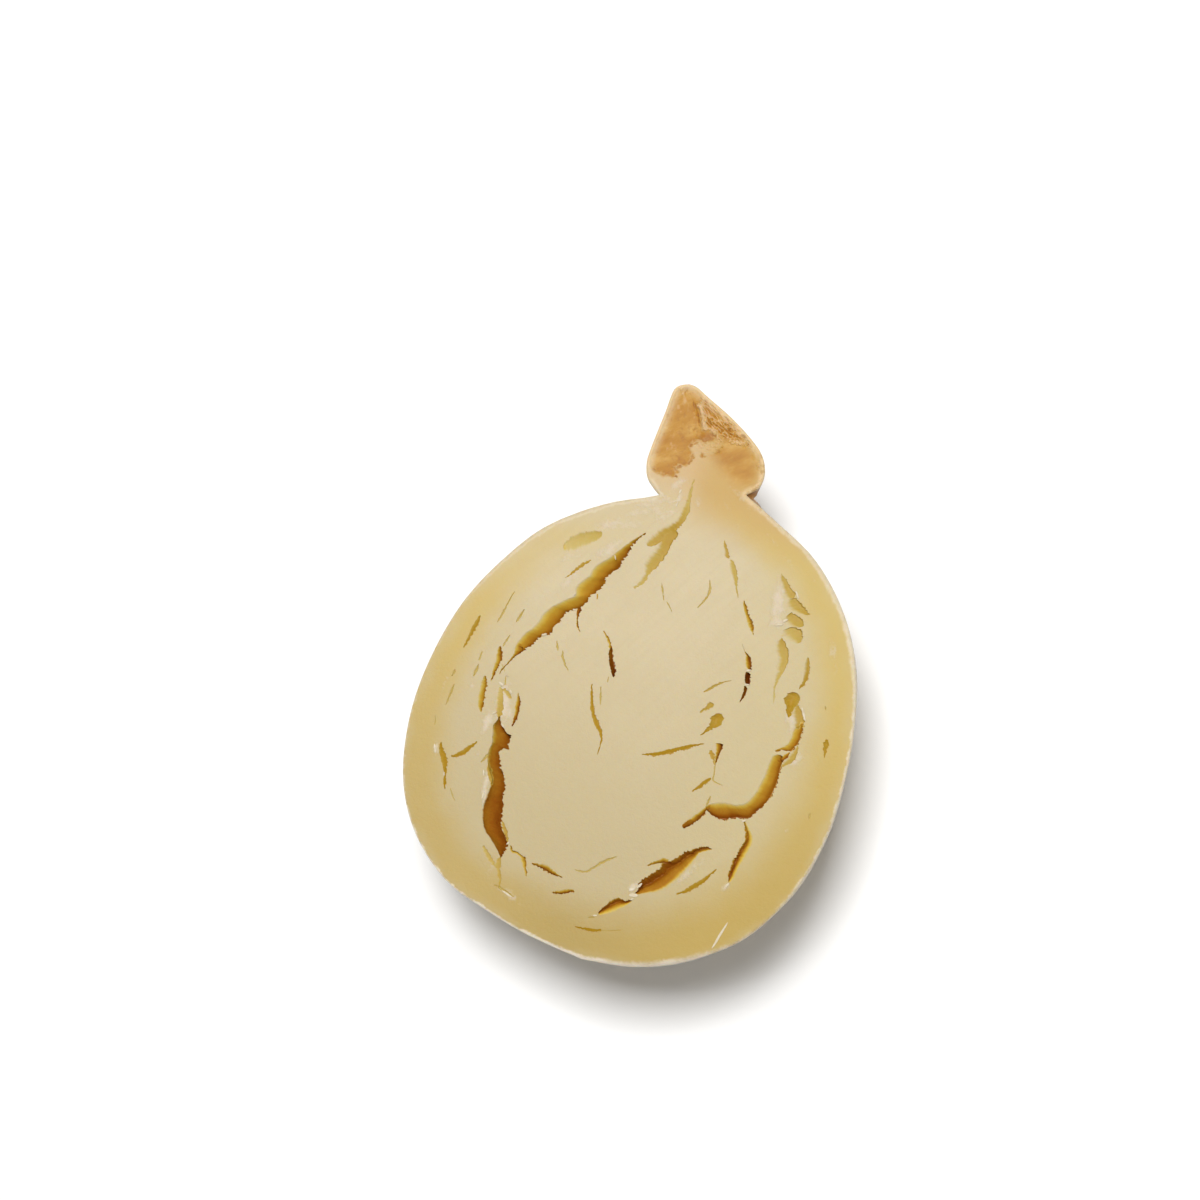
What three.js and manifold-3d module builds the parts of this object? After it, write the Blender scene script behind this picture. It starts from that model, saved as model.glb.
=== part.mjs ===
// Half of a caciocavallo, a pear-shaped stretched-curd cheese, cut lengthwise through its head.
// It lies on its rind with the cut face up. Millimetres, +Z up out of the cut face, +Y towards the head,
// origin under the middle of the half, on the surface that it lies on.
import * as THREE from "three";
import { ParametricGeometry } from "three/addons/geometries/ParametricGeometry.js";
import { mergeVertices } from "three/addons/utils/BufferGeometryUtils.js";
import Module from "manifold-3d";

const wasm = await Module();
wasm.setup();

// Driving dimensions of the cheese and of the cut
const FACE_HEIGHT = 72; // cut face above the surface below, where the round belly is pressed flat
const BOTTOM_Y = -98.8;
const TOP_Y = 99.8;
const BELLY_DEPTH = 0.985; // depth of the half, as a share of half its width
const NECK_Y = 64;
const NECK_SPREAD = 4.5;
const NECK_GROOVE = 0.34; // share of that depth by which the neck is drawn in
const WAVE_SHARE = 0.009; // unevenness of the hand-shaped rind, as a share of its radius
const WAVES_AROUND = 5;
const WAVE_LENGTH = 120; // along the axis

// Rim of the cut face as [x, y], from the bottom to the neck and from the neck to the top of the head
const BODY_LEFT = [
  [8, BOTTOM_Y], [-12, -96.7], [-30, -92.5], [-45, -87.5], [-60, -75.5], [-70, -59], [-74.5, -38],
  [-74, -17], [-69.2, 5], [-60, 24], [-49, 39], [-32, 51.8], [-15, 59.6],
];
const HEAD_LEFT = [
  [-15, 59.6], [-20.5, 63.8], [-22.8, 69], [-23, 75], [-22.1, 88], [-21.4, 97], [-17, TOP_Y],
];
const BODY_RIGHT = [
  [8, BOTTOM_Y], [24, -96.3], [38, -91], [50, -83.2], [60, -73.5], [69, -57.5], [74, -39],
  [75, -22], [73, 0], [67, 22], [57.5, 39], [43, 53.5], [26, 62.5], [13.5, 68.3],
];
const HEAD_RIGHT = [
  [13.5, 68.3], [17, 72], [17.2, 78], [13, 84.6], [2, 91.8], [-9, 97], [-14, 99.4], [-17, TOP_Y],
];

// Splits of the curd on the cut face, each as stations [x, y, width]: cracks that go deep and straight down
const CRACKS = {
  upperLeftRift: [
    [-15.5, 45.8, 0.4], [-18.7, 42, 1.8], [-20.9, 37.5, 3.6], [-23.2, 33, 5.4], [-26.3, 28, 5],
    [-29.2, 22, 6], [-32.2, 16.5, 6.2], [-35.6, 12, 4.9], [-38, 8, 5.2], [-40, 4, 4.6],
    [-42.6, 0, 4.3], [-44.8, -4, 2.9], [-46.3, -8, 0.9], [-48.9, -14.5, 0.3],
  ],
  upperLeftSpur: [[-29.8, 14, 1.2], [-29, 10.2, 0.8], [-26.8, 6.8, 0.3]],
  upperLeftSliver: [[-30.5, 31.8, 0.3], [-34, 28, 1.1], [-37.6, 22.6, 0.3]],
  leftRift: [
    [-45.4, -28, 0.6], [-44.2, -31, 2.6], [-42.3, -34, 5.2], [-41.7, -37, 5.6], [-42, -40.5, 3.8],
    [-41.2, -44, 3.5], [-39.7, -48, 4], [-37.8, -52, 4.1], [-37, -57, 5.6], [-36.2, -61, 6.6],
    [-34.6, -65, 6.9], [-32.2, -68.5, 5.2], [-30, -71.5, 2.7], [-29, -74.5, 0.5],
  ],
  leftNeedle: [[-61.7, 2, 0.5], [-62.4, -2.4, 1.3], [-63.2, -6.4, 1.2], [-64, -10.6, 0.3]],
  leftBladeUpper: [[-51.5, -6.4, 0.4], [-50.8, -10, 2.2], [-50.8, -13.6, 1.3], [-50.9, -18.4, 0.3]],
  leftBladeLower: [[-53.5, -17, 0.5], [-52.6, -21, 2], [-52, -25, 2], [-50.7, -29.6, 0.4]],
  leftDarkCrack: [[-40.6, -19.6, 0.3], [-39.6, -23.6, 1.5], [-38.9, -27, 1.4], [-39, -31, 0.3]],
  leftStar: [
    [-61.2, -43.3, 0.4], [-59.6, -46.6, 1.5], [-57.5, -49.6, 2], [-56.5, -53.4, 1.3], [-54.5, -58.7, 0.3],
  ],
  leftStarArm: [[-57.2, -47.2, 0.6], [-54.4, -46, 1.3], [-51.8, -43, 1.2], [-48.8, -39.4, 0.3]],
  leftHook: [
    [-27.2, -69.8, 0.4], [-25.6, -71.2, 0.9], [-22, -72.2, 1.1], [-20, -74.7, 1.8], [-18.5, -78, 0.3],
  ],
  rightRift: [
    [53.9, -11.5, 0.8], [52.2, -14.2, 3.4], [51.1, -17.5, 4.2], [51, -21, 4.1], [50.6, -25, 4.4],
    [49.6, -29, 4.7], [47.8, -32.2, 4.8], [45, -35, 4.4], [41.5, -36.9, 4.2], [38, -37.6, 4],
    [35, -37.9, 2.8], [33.2, -38, 0.8],
  ],
  rightRiftHead: [[55.7, -1.3, 0.6], [55.3, -4, 1.8], [54.8, -7, 3], [53.7, -9.6, 2.2], [49.5, -12.3, 0.3]],
  rightRiftSpur: [[34, -37.2, 1], [32, -40, 1.8], [30, -42.7, 2], [28.3, -44.8, 1.7], [27.3, -46.5, 0.4]],
  rightRiftBranch: [
    [46.6, -37, 0.8], [48, -39.8, 1.8], [49.5, -43, 2.6], [49.6, -46, 2.9], [48.9, -50, 3.2],
    [48.2, -54, 3], [47.6, -59.5, 0.4],
  ],
  rightDarkCrack: [[27.8, 18.8, 0.3], [31.8, 13.4, 2.2], [33, 9, 1.8], [33.5, 4.8, 1.3], [32.9, -0.3, 0.3]],
  rightEdgeCrack: [[50.3, 21.2, 0.3], [51.2, 18.6, 1.4], [51.9, 15.5, 1.1], [52, 11.6, 0.4]],
  upperRightCrack: [[23.9, 33.5, 0.3], [25.8, 30, 1.2], [28.4, 25.7, 1.8], [30, 23.6, 0.4]],
  lowerRightSliver: [
    [42.8, -56.2, 0.3], [40.4, -60, 1.6], [37.4, -63.8, 1.7], [34.4, -66.8, 1.2], [32, -68.5, 0.3],
  ],
  centreBar: [
    [6.5, -26.8, 0.3], [10.5, -25.4, 1], [15, -23.3, 1.4], [19.5, -20.7, 1.4], [25.6, -17.3, 0.3],
  ],
  centreLeftCrack: [
    [-17.2, -9, 0.4], [-15.2, -14.8, 0.9], [-12.8, -19.5, 1.4], [-9.6, -23.3, 1.2], [-8, -28, 0.3],
  ],
  centreDarkCrack: [
    [-19.3, 9.3, 0.3], [-16.2, 6, 1], [-13.9, 2.2, 1.6], [-11.9, -1.4, 1.4], [-10.8, -4.8, 0.3],
  ],
  forkStem: [[30.9, -14.9, 1], [31, -17, 2.4], [31.1, -20, 1.8], [31.6, -24, 0.5]],
  forkFoot: [[31.6, -27.5, 0.4], [29.4, -30.6, 1.2], [26.7, -34.2, 0.3]],
  bottomBar: [[-18, -73.4, 0.3], [-14.4, -73.3, 1.4], [-11.2, -73.8, 1.7], [-6.5, -74.5, 0.3]],
  bottomChip: [[-8.2, -80.4, 0.3], [-5.6, -79.7, 1.1], [-3, -78.2, 1.2], [-1, -78.1, 0.2]],
  bottomSliver: [[2.6, -88.9, 0.3], [7, -88.6, 0.9], [11.6, -87.3, 0.3]],
};
// Pockets whose floor runs in under their upper left edge
const POCKETS = {
  bottomRift: [
    [39, -50.3, 0.4], [36.2, -51.2, 1.4], [33.6, -53.6, 3], [31, -57, 4.6], [28.6, -60.5, 5.8],
    [26, -63.8, 6.2], [23, -67, 5.2], [20.8, -69.6, 3.6], [18.8, -71.8, 1],
  ],
  bottomPocket: [
    [17.9, -75, 0.8], [15.2, -76.9, 2.6], [12.8, -78.8, 3.4], [10.6, -80.8, 2.6], [8.6, -82.9, 0.4],
  ],
  rightPit: [[50.6, 8.4, 1], [49.7, 6, 4.2], [49.4, 3.4, 2.8], [50.3, 0.3, 0.4]],
  roundPit: [[23.4, -14.8, 0.3], [25.4, -11.6, 1.1], [27.5, -8.5, 3.6], [29.3, -6.2, 0.8]],
  edgePit: [[64.6, -3.6, 0.4], [65, -5.6, 2.2], [65.6, -7.6, 1.3], [66, -10, 0.3]],
};
// Shallow tears, where flakes of curd came away
const TEARS = {
  neckTear: [
    [-4.7, 64, 0.4], [-4.4, 57.4, 1.3], [-5, 53.4, 1.4], [-7.2, 50.4, 3], [-9.2, 46, 5.6],
    [-9.8, 41, 4.6], [-10.4, 36.4, 3.8], [-10.6, 32, 1.8], [-12.4, 28.2, 1.7], [-14.4, 26.2, 0.4],
  ],
  upperLeftPit: [
    [-29.6, 41, 1.2], [-32.5, 39.6, 4.2], [-35.6, 37.2, 5.2], [-38.6, 34.7, 4.4], [-41.4, 32.4, 1],
  ],
  upperRightChip: [[10.8, 51.1, 0.3], [12.3, 48.7, 1.6], [13.8, 45.4, 0.8]],
  upperRightTear: [[15.2, 45.6, 0.8], [17, 42.8, 2.6], [19.4, 38.6, 1.9], [21.8, 33, 0.4]],
  flakeUpper: [[33, 45.9, 0.3], [35.8, 42.9, 1.7], [38.6, 40, 3.2], [41.6, 37.4, 3.4], [46.6, 35.3, 0.5]],
  flakeMiddle: [[40.2, 33.9, 0.5], [43.4, 31.6, 3.6], [45, 28.8, 3], [46.3, 25.6, 0.4]],
  flakeLower: [[39.4, 24.6, 0.6], [41.5, 20.8, 4.2], [43, 16.8, 2.6], [42.9, 12, 1.2], [42.4, 9, 0.4]],
  rightHollow: [[51.6, 3.8, 0.6], [52.3, 1, 3.6], [53, -2.6, 4], [53.6, -6.4, 1]],
  rightFlap: [[56.3, -8.4, 0.3], [56.1, -11.4, 2.2], [55, -14, 2], [53.6, -17, 0.4]],
  leftTear: [[-47, -19.4, 0.5], [-46.6, -23, 2.4], [-45.6, -26.4, 2.6], [-44.4, -30, 1]],
  leftTail: [[-29, -75, 0.8], [-28.3, -79, 1.4], [-27, -81.8, 1.3], [-25.8, -84.5, 0.4]],
  forkArm: [[28.6, -19, 0.3], [29.6, -20.9, 1.6], [31.2, -22.6, 0.4]],
  headTear: [[-11, 94, 0.4], [-8.6, 89.6, 1.8], [-5, 86.8, 2.4], [-0.6, 85.4, 0.6]],
  headFold: [[-10.4, 80.4, 0.5], [-6.6, 82, 1.6], [-2, 82.6, 1.8], [0.6, 80.4, 0.6]],
};
// How deep each kind goes at its widest station, and how far its floor lies to the side, against the width
const KINDS = [
  { splits: CRACKS, depthPerWidth: 4.3, lean: [0, 0] },
  { splits: POCKETS, depthPerWidth: 1.7, lean: [-0.65, 0.4] },
  { splits: TEARS, depthPerWidth: 0.65, lean: [0.25, 0] },
];
const DEPTH_FOLLOWS_WIDTH = 0.6; // power by which a split gets shallower where it is narrow
const CLEAR_ABOVE = 0.4; // by which the empty space of a split stands out of the cut face
// Corners of a split's section as [share of half the width, share of the depth], top first
const SPLIT_SECTION = [[-1, 0], [1, 0], [0.74, 0.5], [0, 1], [-0.74, 0.5]];

// Fineness of the facets
const BODY_STATIONS = 34;
const NECK_STATIONS = 9;
const HEAD_STATIONS = 12;
const NECK_FROM_Y = 56;
const NECK_TO_Y = 70;
const ROUND_STEPS = 60;
const RIM_SAMPLES = 160;
const STEPS_PER_STATION = 2;
const WELD = 1e-3;

const { lerp, mapLinear } = THREE.MathUtils;

// Smooth rim through the given points, as samples with y rising
function rimSamples(points) {
  const curve = new THREE.SplineCurve(points.map(([x, y]) => new THREE.Vector2(x, y)));
  return curve.getPoints(RIM_SAMPLES);
}

// x of a rim at height y, between its two nearest samples
function rimAt(samples, y) {
  const next = samples.findIndex((sample) => sample.y >= y);
  if (next <= 0) return samples.at(next).x;
  const [low, high] = [samples[next - 1], samples[next]];
  return mapLinear(y, low.y, high.y, low.x, high.x);
}

const LEFT_RIM = [...rimSamples(BODY_LEFT), ...rimSamples(HEAD_LEFT)];
const RIGHT_RIM = [...rimSamples(BODY_RIGHT), ...rimSamples(HEAD_RIGHT)];
const middleAt = (y) => (rimAt(LEFT_RIM, y) + rimAt(RIGHT_RIM, y)) / 2;
const halfWidthAt = (y) => (rimAt(RIGHT_RIM, y) - rimAt(LEFT_RIM, y)) / 2;

// Depth of the half at height y, as a share of half its width, drawn in at the neck
function depthShareAt(y) {
  const fromNeck = (y - NECK_Y) / NECK_SPREAD;
  return BELLY_DEPTH * (1 - NECK_GROOVE * Math.exp(-fromNeck * fromNeck));
}

// Heights of the lathe profile between its ends, close together where it rounds off and at the neck
function profileHeights() {
  const heights = [];
  for (let i = 1; i <= BODY_STATIONS; i++) {
    heights.push(mapLinear(Math.cos((Math.PI * i) / BODY_STATIONS), 1, -1, BOTTOM_Y, NECK_FROM_Y));
  }
  for (let i = 1; i <= NECK_STATIONS; i++) {
    heights.push(lerp(NECK_FROM_Y, NECK_TO_Y, i / NECK_STATIONS));
  }
  for (let i = 1; i < HEAD_STATIONS; i++) {
    heights.push(lerp(NECK_TO_Y, TOP_Y, Math.sin((Math.PI * i) / (2 * HEAD_STATIONS))));
  }
  return heights;
}

// The whole cheese: a lathe form about Y, leaned over to its crooked rim and set to its depth
function wholeCheese() {
  const profile = [
    new THREE.Vector2(0, BOTTOM_Y),
    ...profileHeights().map((y) => new THREE.Vector2(halfWidthAt(y), y)),
    new THREE.Vector2(0, TOP_Y),
  ];
  const lathe = new THREE.LatheGeometry(profile, ROUND_STEPS, Math.PI / 2);
  const position = lathe.getAttribute("position");
  for (let i = 0; i < position.count; i++) {
    const [x, y, z] = [position.getX(i), position.getY(i), position.getZ(i)];
    const around = Math.atan2(z, x);
    const phase = WAVES_AROUND * around + (2 * Math.PI * y) / WAVE_LENGTH;
    const wave = 1 + WAVE_SHARE * Math.sin(phase) * Math.sin(around) ** 2;
    position.setXYZ(i, x * wave + middleAt(y), y, z * wave * depthShareAt(y) + FACE_HEIGHT);
  }
  return lathe;
}

// What the knife and the surface below leave: everything between the two planes
function betweenCuts() {
  const room = 3 * TOP_Y;
  return new THREE.BoxGeometry(room, room, FACE_HEIGHT).translate(0, 0, FACE_HEIGHT / 2);
}

// The empty space of one split, as a trough that tapers to a point at both ends
function splitSpace(line, depthPerWidth, lean) {
  const route = new THREE.CatmullRomCurve3(line.map((station) => new THREE.Vector3(...station)));
  const widest = Math.max(...line.map(([, , width]) => width));
  const trough = (along, around, point) => {
    const { x, y, z: width } = route.getPoint(along);
    const corner = Math.round(around * SPLIT_SECTION.length) % SPLIT_SECTION.length;
    const [side, sunk] = SPLIT_SECTION[corner];
    if (along === 0 || along === 1) return point.set(x, y, FACE_HEIGHT + CLEAR_ABOVE);
    const ahead = route.getTangent(along);
    const across = new THREE.Vector2(-ahead.y, ahead.x).normalize().multiplyScalar((side * width) / 2);
    const depth = widest * depthPerWidth * (width / widest) ** DEPTH_FOLLOWS_WIDTH;
    const height = sunk === 0 ? CLEAR_ABOVE : -sunk * depth;
    return point.set(
      x + across.x + lean[0] * sunk * width,
      y + across.y + lean[1] * sunk * width,
      FACE_HEIGHT + height,
    );
  };
  return new ParametricGeometry(trough, STEPS_PER_STATION * (line.length - 1), SPLIT_SECTION.length);
}

// A closed geometry as a solid that can be cut
function solidOf(geometry) {
  const skin = new THREE.BufferGeometry();
  skin.setAttribute("position", geometry.getAttribute("position"));
  skin.setIndex(geometry.getIndex());
  const welded = mergeVertices(skin, WELD);
  return new wasm.Manifold(
    new wasm.Mesh({
      numProp: 3,
      vertProperties: welded.getAttribute("position").array,
      triVerts: new Uint32Array(welded.getIndex().array),
    }),
  );
}

// A solid as a geometry for a mesh
function geometryOf(solid) {
  const { vertProperties, triVerts } = solid.getMesh();
  const geometry = new THREE.BufferGeometry();
  geometry.setAttribute("position", new THREE.BufferAttribute(vertProperties, 3));
  geometry.setIndex(new THREE.BufferAttribute(triVerts, 1));
  geometry.computeVertexNormals();
  return geometry;
}

// The half with every split taken out of its cut face
function splitHalf() {
  let half = solidOf(wholeCheese()).intersect(solidOf(betweenCuts()));
  for (const { splits, depthPerWidth, lean } of KINDS) {
    for (const line of Object.values(splits)) {
      half = half.subtract(solidOf(splitSpace(line, depthPerWidth, lean)));
    }
  }
  return half;
}

const paste = new THREE.MeshStandardMaterial({ color: 0xdcc894, roughness: 0.55, metalness: 0 });
const cheese = new THREE.Mesh(geometryOf(splitHalf()), paste);
cheese.name = "cheese_half";

const caciocavallo = new THREE.Group();
caciocavallo.add(cheese);

export default caciocavallo;
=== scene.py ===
import math

import bpy
import numpy as np
from mathutils import Matrix, Vector, kdtree, noise


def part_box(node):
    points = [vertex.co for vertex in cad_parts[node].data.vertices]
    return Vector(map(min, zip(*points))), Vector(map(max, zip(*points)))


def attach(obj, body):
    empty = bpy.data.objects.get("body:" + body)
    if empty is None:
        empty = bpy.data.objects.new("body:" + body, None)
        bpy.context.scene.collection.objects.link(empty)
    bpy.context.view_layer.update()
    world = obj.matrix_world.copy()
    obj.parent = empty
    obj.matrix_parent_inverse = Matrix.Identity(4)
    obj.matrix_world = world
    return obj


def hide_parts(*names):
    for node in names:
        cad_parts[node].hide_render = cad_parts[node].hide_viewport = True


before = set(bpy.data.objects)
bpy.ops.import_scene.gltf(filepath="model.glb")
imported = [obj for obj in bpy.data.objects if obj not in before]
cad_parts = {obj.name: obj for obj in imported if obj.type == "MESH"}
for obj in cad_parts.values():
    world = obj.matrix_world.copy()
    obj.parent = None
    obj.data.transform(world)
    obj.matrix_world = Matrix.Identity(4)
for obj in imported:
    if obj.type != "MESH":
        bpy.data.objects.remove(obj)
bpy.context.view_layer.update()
bpy.ops.object.select_all(action="DESELECT")

# Half of a caciocavallo, lying on its rind with the cut face up. Sizes are millimetres on the cut face,
# x to the right and y towards the head, and MM turns them into Blender's metres.
MM = 0.001
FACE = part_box("cheese_half")[1][2] / MM

# Rim of the cut face as (x, y), from the bottom to the neck and from the neck to the top of the head
BOTTOM_Y = -98.8
TOP_Y = 99.8
BODY_LEFT = [
    (8, BOTTOM_Y), (-12, -96.7), (-30, -92.5), (-45, -87.5), (-60, -75.5), (-70, -59), (-74.5, -38),
    (-74, -17), (-69.2, 5), (-60, 24), (-49, 39), (-32, 51.8), (-15, 59.6),
]
HEAD_LEFT = [(-15, 59.6), (-20.5, 63.8), (-22.8, 69), (-23, 75), (-22.1, 88), (-21.4, 97), (-17, TOP_Y)]
BODY_RIGHT = [
    (8, BOTTOM_Y), (24, -96.3), (38, -91), (50, -83.2), (60, -73.5), (69, -57.5), (74, -39),
    (75, -22), (73, 0), (67, 22), (57.5, 39), (43, 53.5), (26, 62.5), (13.5, 68.3),
]
HEAD_RIGHT = [
    (13.5, 68.3), (17, 72), (17.2, 78), (13, 84.6), (2, 91.8), (-9, 97), (-14, 99.4), (-17, TOP_Y),
]

# Body behind the cut face
BELLY_DEPTH = 0.985
NECK_Y = 64
NECK_SPREAD = 4.5
NECK_GROOVE = 0.34
WAVE_SHARE = 0.009
WAVES_AROUND = 5
WAVE_LENGTH = 120
# Pleats of the rind at the neck, the fold at its right, the crumpled back of the head, and slight dents
# as (height, size)
PLEAT_DEPTH = 0.9
PLEAT_SPREAD = 12
PLEATS_AROUND = 8
FOLD_OUT = 3.2
FOLD_Y = 68
FOLD_SPREAD = 2.6
CRUMPLE_HEIGHT = 0.9
CRUMPLE_FROM_Y = (70, 84)
DENTS = [(0.6, 30), (0.1, 9)]
SMALLEST_HALF_WIDTH = 6
# The rind keeps its place next to the cut face and next to the resting spot, as (all kept, none kept)
KEPT_UNDER_FACE = (1, 8)
KEPT_OVER_SPOT = (0.2, 4)
# Width of the rounded edge of rind around the cut face, as (degrees around the body, width)
BODY_CENTRE = (0, -20)
EDGE_WIDTHS = [
    (-180, 0.6), (-138, 0.7), (-113, 0.8), (-95, 1.2), (-84, 1.5), (-72, 2.2), (-63, 2.4), (-55, 1.7),
    (-46, 1), (-15, 0.8), (5, 0.9), (30, 1.1), (50, 1.3), (72, 1.1), (90, 0.9), (105, 1), (125, 1.2),
    (145, 1), (165, 0.8), (180, 0.6),
]
# Unevenness of the cut face, as (height, size, seed)
UNEVENNESS = [(0.1, 19, 1), (0.04, 6, 2)]

# Fineness of the skin
COLUMNS = 72
BODY_ROW = 2.2
HEAD_ROW = 0.6
HEAD_FROM_Y = 60
TORN_FROM_Y = 62
FINEST_FROM_Y = 65
FINEST_FROM_RIM = 0.8
END_ROWS = 9
END_REACH = 9
RIM_STEP = 0.2
RIM_SPANS = 40
SMOOTH_UNDER = math.radians(30)
# What is closer or thinner than this is welded, in metres
WELD = 1e-6
SLIVER = 1e-7

# Splits of the curd. A station is (x, y, width), or (x, y, x, y) where the far and the near edge are given
# one by one. The near edge is the one towards the camera; it is the crisper and, in a sloping split, the
# deeper one.
RIFTS = {
    "upper_left_rift": [
        (-15.6, 46.1, -15.3, 45.9), (-17.2, 44.3, -16.6, 44.1), (-18.7, 42.6, -17.8, 42.3),
        (-20.6, 40.2, -18.5, 40), (-22.8, 37, -19.2, 37), (-25, 33.8, -20.2, 34), (-27.6, 31, -20.6, 32),
        (-29, 28.6, -22.4, 29.6), (-29.6, 26.2, -24.2, 27), (-31.4, 23.6, -23.9, 25),
        (-32.6, 21, -25.4, 22), (-32.2, 18.2, -27, 19.2), (-34.4, 16.2, -28.4, 15.6),
        (-36.4, 14.4, -30.4, 13.7), (-38.8, 12, -33.2, 12), (-40.4, 9.4, -34.2, 9),
        (-41.4, 6.2, -35.4, 6), (-42.4, 3.8, -36.6, 3.2), (-44.4, 1.2, -39.2, 1.2), (-46, -2, -41, -1.8),
        (-46.7, -5, -43.2, -4.6), (-46.4, -7.4, -45.4, -7.4), (-47.6, -10.6, -47.1, -10.6),
        (-49, -13.6, -48.5, -13.6), (-48.9, -15.4, -48.8, -15.4),
    ],
    "left_rift": [
        (-44.7, -28.8, -44.3, -28.8), (-44.9, -30.8, -43.5, -30.9), (-45.4, -32.2, -42, -32.2),
        (-45.3, -33.4, -40.6, -33.6), (-45.2, -34, -38.7, -34), (-44.9, -34.8, -38.6, -34.8),
        (-44.5, -36.6, -38.4, -36.8), (-44.2, -37.8, -38.3, -38.8), (-44, -38.6, -39.9, -39),
        (-44.3, -41, -40.5, -41), (-44, -43.6, -39.5, -43.4), (-43.1, -45.9, -38.3, -45.7),
        (-41.8, -48.2, -36.8, -47.6), (-40.3, -50, -35.9, -49.6), (-39.9, -52.4, -35, -52.1),
        (-40, -55.8, -34.4, -55.2), (-40.1, -59.2, -33.4, -58.8), (-39.5, -62.4, -32.7, -62),
        (-38.4, -65.2, -31.6, -65), (-36.6, -67.8, -29.9, -67.2), (-34.2, -69.6, -28.2, -69.6),
        (-31.6, -71.8, -28.4, -71.9), (-29.5, -74, -28.7, -74), (-29, -74.9, -28.9, -74.9),
    ],
    "right_rift": [
        (50.6, -13.2, 52, -13), (49.2, -14.6, 53, -15), (49, -17.1, 52.8, -17.6),
        (48.8, -20.7, 53.2, -20.8), (48.3, -24.4, 53.2, -24), (47.8, -27.4, 52.6, -27.6),
        (46.5, -30.4, 51.6, -31.2), (45, -32.4, 49.9, -33.4), (42.6, -33.7, 48, -36.6),
        (39.6, -34.1, 43.6, -38), (36.4, -34.9, 40, -39.6), (34.4, -35.8, 36.6, -39.8),
        (33, -36.7, 34.2, -38.9), (32.4, -37.4, 32.8, -38),
    ],
    "right_rift_head": [
        (54.6, -0.6, 55.6, -0.8), (53.4, -3.4, 56.2, -3), (53.3, -6.2, 56.3, -6), (52.9, -8.8, 56, -8.2),
        (52, -10, 54.6, -10.6), (50.8, -11, 51.8, -11.5), (49.2, -12.5, 49.5, -12.8),
    ],
    "right_rift_sliver": [
        (54.2, -11.2, 54.5, -11.3), (53, -12.5, 54.2, -12.9), (52, -13.9, 53.2, -14.5),
        (51.4, -15, 51.8, -15.3),
    ],
}
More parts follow.
